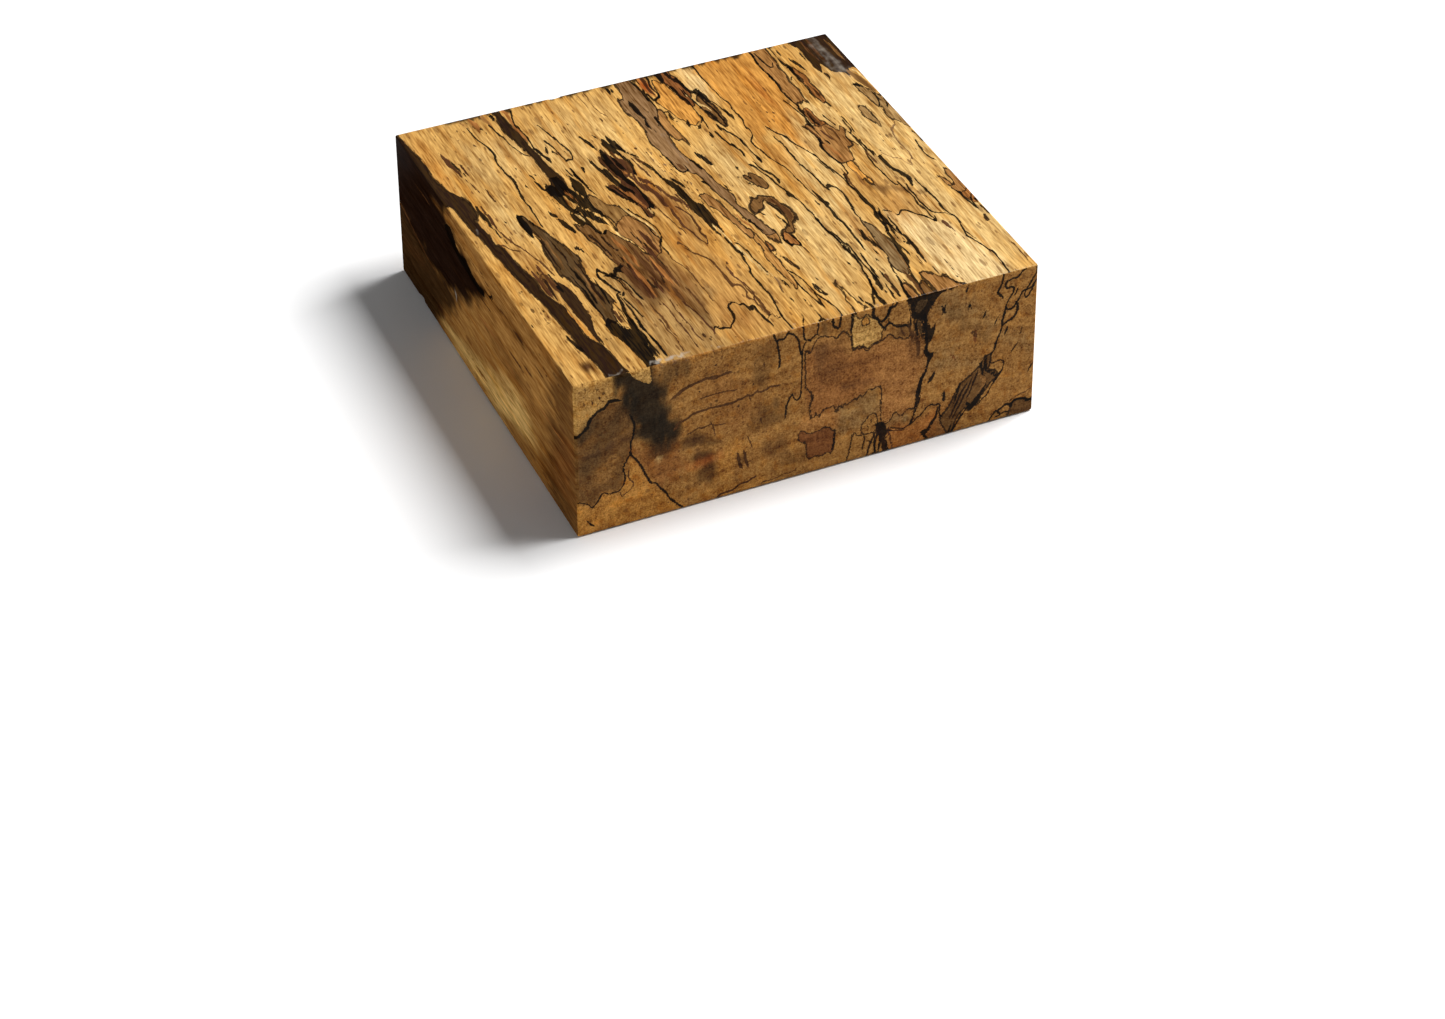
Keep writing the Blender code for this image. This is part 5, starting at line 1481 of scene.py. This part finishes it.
@dataclass(frozen=True)
class WaxedTamarind:
    """Spalted tamarind under a thin coat of clear wax. Lengths are millimetres."""

    fibre: Grain = Grain((0.5, 6.5, 0.5), 3, 0.22)
    streak: Grain = Grain((1.1, 13.0, 1.1), 3, 0.15)
    cloud: Grain = Grain((9.0, 55.0, 9.0), 2, 0.05)
    mottle: Grain = Grain((3.4, 30.0, 3.4), 3, 0.04, 0.04)
    saw: Grain = Grain((0.7, 40.0, 14.0), 2, 0.05)
    rings: Grain = Grain((3.4, 90.0, 3.4), 3, 0.05, 0.11)
    ring_sway: Grain = Grain((22.0, 70.0, 22.0), 3)
    ring_sway_width: float = 2.6
    ring_spread: float = 4.5
    pith: Pair = (6.0, -158.0)  # where the growth rings centre, across and up
    tone_rates: Triple = (1.7, 2.0, 2.3)  # on red, green and blue, so that dark wood is redder
    darkest_tone: float = 0.12

    blush: Grain = Grain((3.6, 36.0, 3.6), 3)
    warm_colour: Colour = (1.0, 0.86, 0.60, 1.0)
    warm_strength: float = 0.7
    stain: Grain = Grain((2.6, 34.0, 2.6), 4)
    stain_from_streak: float = 0.35
    stain_range: Pair = (0.1, 1.1)
    hair: Grain = Grain((0.34, 9.0, 0.34), 3)
    hair_range: Pair = (0.45, 1.0)
    stain_colour: Colour = (0.60, 0.44, 0.26, 1.0)
    stain_strength: float = 0.75
    hair_strength: float = 0.6
    end_hair_strength: float = 0.4
    fine_pores: Pair = (1.3, 5.0)  # how far apart they stand, across and along
    coarse_pores: Pair = (2.6, 9.0)
    fine_specks: Pair = (1.1, 2.6)
    coarse_specks: Pair = (1.8, 4.6)
    dash_size: float = 0.38  # of the largest, as a share of the room that it has
    dash_softness: float = 0.10
    dash_rarity: float = 3.0  # how much rarer the large dashes are
    pore_colour: Colour = (0.10, 0.036, 0.011, 1.0)
    speck_colour: Colour = (0.035, 0.014, 0.006, 1.0)
    dash_strength: float = 0.85
    coarse_pore_strength: float = 0.7
    pore_strength: float = 0.8

    jag: Grain = Grain((0.75, 4.0, 0.75), 2)
    jag_depth: float = 0.28
    fray: Grain = Grain((0.38, 1.5, 0.38), 1)
    fray_depth: float = 0.10
    stroke_jag: float = 0.7  # how much of that raggedness a stroke has
    patch_tone: float = 1.5  # how strongly the figure shows in a patch, against bare wood
    end_patch_tone: float = 1.1
    stroke_tone: float = 1.3
    patch_softness: float = 0.12
    stroke_softness: float = 0.09
    rim_softness: Pair = (-0.10, 0.08)
    rim_strength: float = 0.92
    patch_cover: Triple = (0.97, 0.06, 0.05)  # its strength, and how much the fibre and the streak change it
    rim_width: Pair = (0.95, 0.25)  # as a share of the drawn one, and how much the streak changes it
    stroke_width: Pair = (1.0, 0.15)  # the same, and how much the fibre changes it
    stroke_cover: Pair = (0.96, 0.06)
    edge_colour: Colour = (0.016, 0.008, 0.004, 1.0)

    milk: Grain = Grain((2.0, 3.0, 2.0), 3)
    milk_raggedness: float = 0.35
    milk_range: Pair = (0.2, 1.1)
    milk_strength: float = 0.7
    milk_colour: Colour = (0.42, 0.37, 0.31, 1.0)
    roughness: float = 0.42
    specular: float = 0.0
    coat_weight: float = 0.08
    coat_roughness: float = 0.12
    coat_ends: Pair = (75.2, 75.5)  # left of the middle: the face that looks left is bare
    cloud_roughness: float = 0.05
    milk_roughness: float = 0.1
    skin: Grain = Grain((5.0, 9.0, 5.0), 2)
    bump_heights: Triple = (0.35, 0.35, 0.9)  # of the fibre, the saw marks and the skin
    bump_depth: float = 0.12
    bump_strength: float = 0.35

    def make(self) -> bpy.types.Material:
        """Builds the material."""
        material = bpy.data.materials.new("waxed_spalted_tamarind")
        material.use_nodes = True
        nodes = Nodes(material.node_tree)
        place = nodes.scaled(nodes.add("ShaderNodeTexCoord").outputs["Object"], (1 / MM, 1 / MM, 1 / MM))
        milky, specks, end_grain = nodes.parts(nodes.field("touches"))
        fibre, streak, cloud, mottle = (
            self.noise(nodes, place, grain) for grain in (self.fibre, self.streak, self.cloud, self.mottle)
        )
        saw = self.noise(nodes, place, self.saw) * end_grain
        figure = self.toning(self.rings, self.ring_figure(nodes, place), end_grain)
        grains = (self.fibre, self.streak, self.cloud, self.saw, self.mottle)
        for grain, found in zip(grains, (fibre, streak, cloud, saw, mottle)):
            figure = figure + self.toning(grain, found, end_grain)

        colour = self.toned(nodes, nodes.field("ground"), figure, 1.0)
        colour = self.weathered(nodes, place, colour, streak, end_grain)
        dark = self.pores(nodes, place) * self.dash_strength
        colour = nodes.mixed(dark, colour, self.pore_colour, "DARKEN")
        dark = self.specks(nodes, place) * specks * self.dash_strength
        colour = nodes.mixed(dark, colour, self.speck_colour, "DARKEN")
        colour = self.marked(nodes, place, colour, figure, fibre, streak, end_grain)
        # Painted highlight: where the sheen marks lie, a pale tint for the glints and reflections on the wax
        # goes into the colour.
        ragged = 1.0 + self.noise(nodes, place, self.milk) * self.milk_raggedness
        smear = nodes.between(milky * ragged, *self.milk_range)
        colour = nodes.mixed(smear * self.milk_strength, colour, self.milk_colour)

        bare = nodes.between(nodes.parts(place)[0] * -1.0, *self.coat_ends)
        inputs = {
            "Base Color": colour,
            "Roughness": self.roughness + cloud * self.cloud_roughness + smear * self.milk_roughness,
            "Specular IOR Level": self.specular,
            "Coat Weight": self.coat_weight * (1.0 - bare),
            "Coat Roughness": self.coat_roughness,
            "Normal": self.bump(nodes, place, fibre, saw),
        }
        shader = nodes.add("ShaderNodeBsdfPrincipled", None, inputs)
        nodes.add("ShaderNodeOutputMaterial", None, {"Surface": shader.outputs[0]})
        return material

    @staticmethod
    def noise(nodes: Nodes, place: Socket, grain: Grain) -> Value:
        """The noise of one grain."""
        return nodes.noise(place, grain.size, grain.detail)

    @staticmethod
    def toning(grain: Grain, found: Value, end_grain: Value) -> Value:
        """How much a grain tones the wood, here and on end grain."""
        return found * (grain.tone + grain.end_tone * end_grain) if grain.end_tone else found * grain.tone

    def ring_figure(self, nodes: Nodes, place: Socket) -> Value:
        """Growth rings: noise that changes with the distance from the pith, and slowly along the grain."""
        across, along, up = nodes.parts(place)
        sway = self.noise(nodes, place, self.ring_sway) * self.ring_sway_width
        radius = ((across - self.pith[0]) ** 2.0 + (up - self.pith[1]) ** 2.0) ** 0.5 + sway
        parts = {0: radius / self.rings.size[0], 1: along / self.rings.size[1]}
        spot = nodes.add("ShaderNodeCombineXYZ", None, parts).outputs[0]
        inputs = {"Vector": spot, "Scale": 1.0, "Detail": self.rings.detail}
        return (nodes.value("ShaderNodeTexNoise", "Fac", None, inputs) - 0.5) * self.ring_spread

    def toned(self, nodes: Nodes, colour: Socket, figure: Value, depth: Number) -> Socket:
        """A wood colour, darker and redder or paler with the figure."""
        parts = [(1 + figure * depth * rate).over(self.darkest_tone) for rate in self.tone_rates]
        tone = nodes.add("ShaderNodeCombineXYZ", None, dict(enumerate(parts)))
        inputs = {0: colour, 1: tone.outputs[0]}
        return nodes.add("ShaderNodeVectorMath", {"operation": "MULTIPLY"}, inputs).outputs[0]

    def weathered(
        self, nodes: Nodes, place: Socket, colour: Socket, streak: Value, end_grain: Value
    ) -> Socket:
        """Bare wood with its warm and stained parts and its dark hairs.

        Args:
            nodes: the tree.
            place: millimetres.
            colour: the bare wood.
            streak: noise that the stain follows.
            end_grain: 1 on end grain, 0 elsewhere.

        Returns:
            The wood's colour.
        """
        warm = nodes.between(self.noise(nodes, place, self.blush), 0.0, 1.0)
        colour = nodes.mixed(warm * self.warm_strength, colour, self.warm_colour, "MULTIPLY")
        stain = self.noise(nodes, place, self.stain) + streak * self.stain_from_streak
        stained = nodes.between(stain, *self.stain_range)
        colour = nodes.mixed(stained * self.stain_strength, colour, self.stain_colour, "MULTIPLY")
        hairs = nodes.between(self.noise(nodes, place, self.hair), *self.hair_range)
        strength = self.hair_strength - end_grain * (self.hair_strength - self.end_hair_strength)
        return nodes.mixed(hairs * strength, colour, self.stain_colour, "MULTIPLY")

    def marked(
        self,
        nodes: Nodes,
        place: Socket,
        colour: Socket,
        figure: Value,
        fibre: Value,
        streak: Value,
        end_grain: Value,
    ) -> Socket:
        """The wood with its patches and strokes, whose edges the grain frays.

        Args:
            nodes: the tree.
            place: millimetres.
            colour: the wood underneath.
            figure: what tones the marks.
            fibre: fine noise along the grain.
            streak: coarser noise along the grain.
            end_grain: 1 on end grain, 0 elsewhere.

        Returns:
            The wood's colour.
        """
        jagged = self.noise(nodes, place, self.jag) * self.jag_depth
        jagged = jagged + self.noise(nodes, place, self.fray) * self.fray_depth
        patch_tone = self.patch_tone - end_grain * (self.patch_tone - self.end_patch_tone)
        for number in range(Canvas.PATCH_LAYERS):
            depth, edge, _ = nodes.parts(nodes.field(f"patch_{number}"))
            depth = depth + jagged
            fill = self.toned(nodes, nodes.field(f"patch_hue_{number}"), figure, patch_tone)
            cover = nodes.between(depth, -self.patch_softness, self.patch_softness)
            strength, by_fibre, by_streak = self.patch_cover
            colour = nodes.mixed(cover * (strength + fibre * by_fibre + streak * by_streak), colour, fill)
            reach = edge * (self.rim_width[0] + streak * self.rim_width[1])
            rim = nodes.between(reach - abs(depth), *self.rim_softness)
            colour = nodes.mixed(rim * self.rim_strength, colour, self.edge_colour)
        for number in range(Canvas.STROKE_LAYERS):
            beside, width, _ = nodes.parts(nodes.field(f"stroke_{number}"))
            reach = width * (self.stroke_width[0] + fibre * self.stroke_width[1])
            within = reach - abs(beside + jagged * self.stroke_jag)
            mask = nodes.between(within, -self.stroke_softness, self.stroke_softness)
            tint = self.toned(nodes, nodes.field(f"stroke_hue_{number}"), figure, self.stroke_tone)
            cover = self.stroke_cover[0] + fibre * self.stroke_cover[1]
            colour = nodes.mixed(mask * cover, colour, tint)
        return colour

    def scattered(self, nodes: Nodes, place: Socket, room: Pair, part: int) -> Value:
        """Scattered dashes along the grain, which show as dots on end grain.

        Args:
            nodes: the tree.
            place: millimetres.
            room: how far apart they stand, across and along.
            part: which random number says how large each one is.

        Returns:
            1 on a dash, 0 off it.
        """
        spot = nodes.scaled(place, (1 / room[0], 1 / room[1], 1 / room[0]))
        node = nodes.add("ShaderNodeTexVoronoi", None, {"Vector": spot, "Scale": 1.0})
        chance = nodes.parts(node.outputs["Color"])[part]
        within = chance**self.dash_rarity * self.dash_size - Value(nodes, node.outputs["Distance"])
        return nodes.between(within, 0.0, self.dash_softness)

    def pores(self, nodes: Nodes, place: Socket) -> Value:
        """The wood's pores, fine and coarse."""
        fine = self.scattered(nodes, place, self.fine_pores, 0)
        coarse = self.scattered(nodes, place, self.coarse_pores, 2) * self.coarse_pore_strength
        return (fine + coarse) * self.pore_strength

    def specks(self, nodes: Nodes, place: Socket) -> Value:
        """Fine dark specks of spalting."""
        fine = self.scattered(nodes, place, self.fine_specks, 1)
        return fine.over(self.scattered(nodes, place, self.coarse_specks, 0))

    def bump(self, nodes: Nodes, place: Socket, fibre: Value, saw: Value) -> Socket:
        """Saw marks and raised grain, softened by wax."""
        found = (fibre, saw, self.noise(nodes, place, self.skin))
        heights = [noise * height for noise, height in zip(found, self.bump_heights)]
        height = heights[0] + heights[1] + heights[2]
        inputs = {"Strength": self.bump_strength, "Distance": self.bump_depth * MM, "Height": height}
        return nodes.add("ShaderNodeBump", None, inputs).outputs[0]


@dataclass
class Blank:
    """The block: its fine skin over the sawn solid, and its figure."""

    columns: int = 238
    rows: int = 126
    tiers: int = 48
    arris_cells: int = 3
    arris_reach: float = 0.75 * MM
    tooth_depth: float = 0.03 * MM
    tooth_size: Triple = (1.1 * MM, 12 * MM, 1.1 * MM)  # of the waves that the saw's teeth left
    tooth_swing: float = 0.5  # how far the waves move the skin, in tooth depths
    tooth_sink: float = 0.7  # how far the skin is let in for them, in tooth depths
    seed: int = 5

    def tree(self, material: bpy.types.Material) -> bpy.types.NodeTree:
        """The node tree that lays an even skin over the solid.

        Args:
            material: what the skin is made of.

        Returns:
            The tree, with the solid, its corners and its sizes as named inputs.
        """
        tree = bpy.data.node_groups.new("sawn_block", "GeometryNodeTree")
        nodes = Nodes(tree)
        corner_names = [f"Corner {number}" for number in range(8)]
        wanted = {"Solid": "NodeSocketObject"} | dict.fromkeys(corner_names, "NodeSocketVector")
        wanted |= dict.fromkeys(("Columns", "Rows", "Tiers", "Arris cells"), "NodeSocketInt")
        wanted |= dict.fromkeys(("Arris reach", "Tooth"), "NodeSocketFloat")
        for name, kind in wanted.items():
            tree.interface.new_socket(name, in_out="INPUT", socket_type=kind)
        tree.interface.new_socket("Geometry", in_out="OUTPUT", socket_type="NodeSocketGeometry")
        given = nodes.add("NodeGroupInput").outputs
        counts = [Value(nodes, given[name]) for name in ("Columns", "Rows", "Tiers")]
        points = {f"Vertices {axis}": count + 1.0 for axis, count in zip("XYZ", counts)}
        cube = nodes.add("GeometryNodeMeshCube", None, {"Size": (1, 1, 1), **points})
        position = nodes.add("GeometryNodeInputPosition").outputs[0]
        from_corner = nodes.add("ShaderNodeVectorMath", None, {0: position, 1: (0.5, 0.5, 0.5)}).outputs[0]
        shares = [
            self.spaced(nodes, value, count, given, extent)
            for value, count, extent in zip(nodes.parts(from_corner), counts, FACE_EXTENT)
        ]
        joined = nodes.add("ShaderNodeCombineXYZ", None, dict(enumerate(shares))).outputs[0]
        named = {"Name": "share", "Value": joined}
        kind = {"data_type": "FLOAT_VECTOR"}
        stored = nodes.through("GeometryNodeStoreNamedAttribute", cube.outputs["Mesh"], named, kind)
        spots = [given[name] for name in corner_names]
        for share in shares:
            half = len(spots) // 2
            spots = [
                nodes.add("ShaderNodeMix", {"data_type": "VECTOR"}, {0: share, 4: low, 5: high}).outputs[1]
                for low, high in zip(spots[:half], spots[half:])
            ]
        moved = nodes.through("GeometryNodeSetPosition", stored, {"Position": spots[0]})
        solid = nodes.add("GeometryNodeObjectInfo", None, {"Object": given["Solid"]}).outputs["Geometry"]
        snap = nodes.add("GeometryNodeProximity", {"target_element": "FACES"}, {0: solid})
        fitted = nodes.through("GeometryNodeSetPosition", moved, {"Position": snap.outputs["Position"]})
        teeth = nodes.noise(position, self.tooth_size, 1) * self.tooth_swing - self.tooth_sink
        raised = {
            0: nodes.add("GeometryNodeInputNormal").outputs[0],
            "Scale": teeth * Value(nodes, given["Tooth"]),
        }
        offset = nodes.add("ShaderNodeVectorMath", {"operation": "SCALE"}, raised).outputs[0]
        sawn = nodes.through("GeometryNodeSetPosition", fitted, {"Offset": offset})
        real = nodes.through("GeometryNodeRealizeInstances", sawn)
        dressed = nodes.through("GeometryNodeSetMaterial", real, {"Material": material})
        nodes.through("NodeGroupOutput", dressed)
        return tree

    def spaced(
        self, nodes: Nodes, value: Value, count: Value, given: bpy.types.bpy_prop_collection, extent: float
    ) -> Value:
        """Shares along one axis, with the cells at both ends kept small for the eased edges.

        Args:
            nodes: the tree.
            value: even shares from 0 to 1.
            count: how many cells there are along the axis.
            given: the tree's inputs.
            extent: the block's extent along the axis, in millimetres.

        Returns:
            The shares, spaced anew.
        """
        small = Value(nodes, given["Arris reach"]) / (extent * MM)
        cells = Value(nodes, given["Arris cells"]) / count
        whole = 1 - small * 2.0
        steps = ((0.0, cells, small), (cells, 1 - cells, whole), (1 - cells, 1.0, small))
        total = None
        for low, high, size in steps:
            inputs = {"Value": value, "From Min": low, "From Max": high, "To Max": size}
            step = nodes.value("ShaderNodeMapRange", "Result", None, inputs)
            total = step if total is None else total + step
        return total

    def skin(self, material: bpy.types.Material) -> bpy.types.Object:
        """The block's mesh, built and made plain."""
        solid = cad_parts[NODE]
        tree = self.tree(material)
        maker = bpy.data.objects.new("block_maker", bpy.data.meshes.new("block_maker"))
        bpy.context.scene.collection.objects.link(maker)
        modifier = maker.modifiers.new("sawn_block", "NODES")
        modifier.node_group = tree
        values = {"Solid": solid, "Columns": self.columns, "Rows": self.rows, "Tiers": self.tiers}
        values |= {"Arris cells": self.arris_cells, "Arris reach": self.arris_reach}
        values |= {"Tooth": self.tooth_depth}
        values |= {f"Corner {number}": corner for number, corner in enumerate(self.sharp_corners())}
        for item in tree.interface.items_tree:
            if item.in_out == "INPUT":
                modifier[item.identifier] = values[item.name]
        evaluated = maker.evaluated_get(bpy.context.evaluated_depsgraph_get())
        mesh = bpy.data.meshes.new_from_object(evaluated)
        mesh.name = "blank_skin"
        maker.modifiers.remove(modifier)
        bpy.data.objects.remove(maker)
        bpy.data.node_groups.remove(tree)
        piece = bpy.data.objects.new("tamarind_block", mesh)
        bpy.context.scene.collection.objects.link(piece)
        return piece

    @staticmethod
    def sharp_corners() -> list[Vector]:
        """The solid's vertex furthest towards each corner, in the order that the tree mixes them, X first."""
        points = np.array([vertex.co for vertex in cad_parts[NODE].data.vertices])
        ways = np.array(list(np.ndindex(2, 2, 2))) * 2 - 1
        return [Vector(points[(points @ way).argmax()]) for way in ways]

    def dress(self, piece: bpy.types.Object) -> None:
        """Draws the figure of every face on the mesh, corner by corner."""
        mesh = piece.data
        share = np.zeros(len(mesh.vertices) * 3, np.float32)
        mesh.attributes["share"].data.foreach_get("vector", share)
        share = share.reshape(-1, 3)
        mesh.attributes.remove(mesh.attributes["share"])
        loops = np.zeros(len(mesh.loops), np.int32)
        mesh.loops.foreach_get("vertex_index", loops)
        loops = loops.reshape(-1, 4)
        names = ["ground", "touches"]
        for kind, count in (("patch", Canvas.PATCH_LAYERS), ("stroke", Canvas.STROKE_LAYERS)):
            names += [f"{part}_{number}" for part in (kind, f"{kind}_hue") for number in range(count)]
        fields = {name: np.zeros((len(loops), 4, 3), np.float32) for name in names}
        spread = np.zeros((len(loops), 4, 2), np.float32)
        quad_share = share[loops]
        for number, face in enumerate(FACES):
            quads = np.flatnonzero((np.abs(quad_share[:, :, face.axis] - face.end) < ON_FACE).all(1))
            used, where = np.unique(loops[quads], return_inverse=True)
            where = where.reshape(-1, 4)
            painted = face.paint(share[used], self.seed + SEEDS_APART * number)
            for name, values in self.channels(painted).items():
                fields[name][quads] = values[where]
            spread[quads] = (face.places(share[used]) + face.on_map)[where] / MAP_SIDE
            log.info("drew the %s: %d places", face.name, len(used))
        for name, values in fields.items():
            mesh.attributes.new(name, "FLOAT_VECTOR", "CORNER").data.foreach_set("vector", values.ravel())
        for layer in list(mesh.uv_layers):
            mesh.uv_layers.remove(layer)
        mesh.uv_layers.new(name="OFBake").data.foreach_set("uv", spread.ravel())
        mesh.shade_smooth()

    @staticmethod
    def channels(painted: Painted) -> dict[str, np.ndarray]:
        """A face's drawing as named rows of three numbers."""
        made = {"ground": painted.ground, "touches": painted.touches}
        for kind, layers in (("patch", painted.patches), ("stroke", painted.strokes)):
            for number, layer in enumerate(layers):
                unused = np.zeros(len(layer.width))
                made[f"{kind}_{number}"] = np.stack([layer.beside, layer.width, unused], 1)
                made[f"{kind}_hue_{number}"] = layer.paint
        return {name: values.astype(np.float32) for name, values in made.items()}

    def build(self) -> bpy.types.Object:
        """Makes the piece, hides the solid that it stands for and attaches the piece to the root body."""
        piece = self.skin(WaxedTamarind().make())
        self.dress(piece)
        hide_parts(NODE)
        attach(piece, "root")
        return piece


@dataclass(frozen=True)
class Lamp:
    """A square soft light."""

    name: str
    place: Triple
    aim: Triple
    side: float
    watts: float

    def hang(self) -> bpy.types.Object:
        """Puts the light in the scene."""
        light = bpy.data.lights.new(self.name, "AREA")
        light.shape = "SQUARE"
        light.size = self.side
        light.energy = self.watts
        lamp = bpy.data.objects.new(self.name, light)
        lamp.location = self.place
        lamp.rotation_euler = (Vector(self.aim) - Vector(self.place)).to_track_quat("-Z", "Y").to_euler()
        bpy.context.scene.collection.objects.link(lamp)
        return lamp


@dataclass(frozen=True)
class Studio:
    """The floor, the lights and the camera."""

    floor_side: float = 8.0
    floor_drop: float = 0.0002
    floor_colour: Colour = (0.9, 0.9, 0.9, 1.0)
    floor_roughness: float = 0.8
    sky_colour: Colour = (1.0, 1.0, 1.0, 1.0)
    sky: float = 0.14
    lens: float = 99.24
    sensor: float = 36.0
    heading: float = 23.498  # degrees that the view turns from +Y towards +X
    dip: float = 38.326  # degrees below the horizon
    roll: float = -0.497
    target: Triple = (-0.045137, -0.113275, 0.027)
    distance: float = 1.15744
    nearest: float = 0.01
    lamps: tuple[Lamp, ...] = (
        Lamp("key", (0.95, 0.0, 1.7), (0.0, 0.0, 0.03), 0.9, 57.0),
        Lamp("left_fill", (-1.6, -0.35, 0.45), (0.0, 0.0, 0.03), 0.8, 4.5),
    )

    def lay_floor(self) -> bpy.types.Object:
        """A wide pale floor."""
        reach = self.floor_side / 2
        mesh = bpy.data.meshes.new("floor")
        corners = [(x * reach, y * reach, -self.floor_drop) for x, y in ((-1, -1), (1, -1), (1, 1), (-1, 1))]
        mesh.from_pydata(corners, [], [(0, 1, 2, 3)])
        floor = bpy.data.objects.new("floor", mesh)
        bpy.context.scene.collection.objects.link(floor)
        material = bpy.data.materials.new("pale_floor")
        material.use_nodes = True
        nodes = Nodes(material.node_tree)
        inputs = {"Base Color": self.floor_colour, "Roughness": self.floor_roughness}
        shader = nodes.add("ShaderNodeBsdfPrincipled", None, inputs)
        nodes.add("ShaderNodeOutputMaterial", None, {"Surface": shader.outputs[0]})
        mesh.materials.append(material)
        return floor

    def light(self) -> None:
        """A plain sky and the lamps."""
        world = bpy.data.worlds.new("studio")
        world.use_nodes = True
        nodes = Nodes(world.node_tree)
        sky = nodes.add("ShaderNodeBackground", None, {"Color": self.sky_colour, "Strength": self.sky})
        nodes.add("ShaderNodeOutputWorld", None, {"Surface": sky.outputs[0]})
        bpy.context.scene.world = world
        for lamp in self.lamps:
            lamp.hang()

    def set_camera(self) -> bpy.types.Object:
        """The camera at the photograph's view."""
        turn, dip, roll = (radians(angle) for angle in (self.heading, self.dip, self.roll))
        ahead = Vector((sin(turn) * cos(dip), cos(turn) * cos(dip), -sin(dip)))
        level = ahead.cross(Vector((0, 0, 1))).normalized()
        upright = level.cross(ahead)
        right = level * cos(roll) + upright * sin(roll)
        up = upright * cos(roll) - level * sin(roll)
        lens = bpy.data.cameras.new("camera")
        lens.sensor_fit = "HORIZONTAL"
        lens.sensor_width = self.sensor
        lens.lens = self.lens
        lens.clip_start = self.nearest
        camera = bpy.data.objects.new("camera", lens)
        axes = Matrix((right, up, -ahead)).transposed().to_4x4()
        camera.matrix_world = Matrix.Translation(Vector(self.target) - ahead * self.distance) @ axes
        bpy.context.scene.collection.objects.link(camera)
        bpy.context.scene.camera = camera
        return camera

    def build(self) -> None:
        """Sets the whole stage."""
        self.set_camera()
        self.lay_floor()
        self.light()
        bpy.context.scene.view_settings.view_transform = "Standard"
        log.info("set the camera, the floor and %d lamps", len(self.lamps))


def main() -> None:
    """Builds the stage and the blank."""
    logging.basicConfig(level=logging.INFO, format="%(name)s: %(message)s")
    Studio().build()
    piece = Blank().build()
    log.info("%s: %d faces", piece.name, len(piece.data.polygons))


if __name__ == "__main__":
    main()
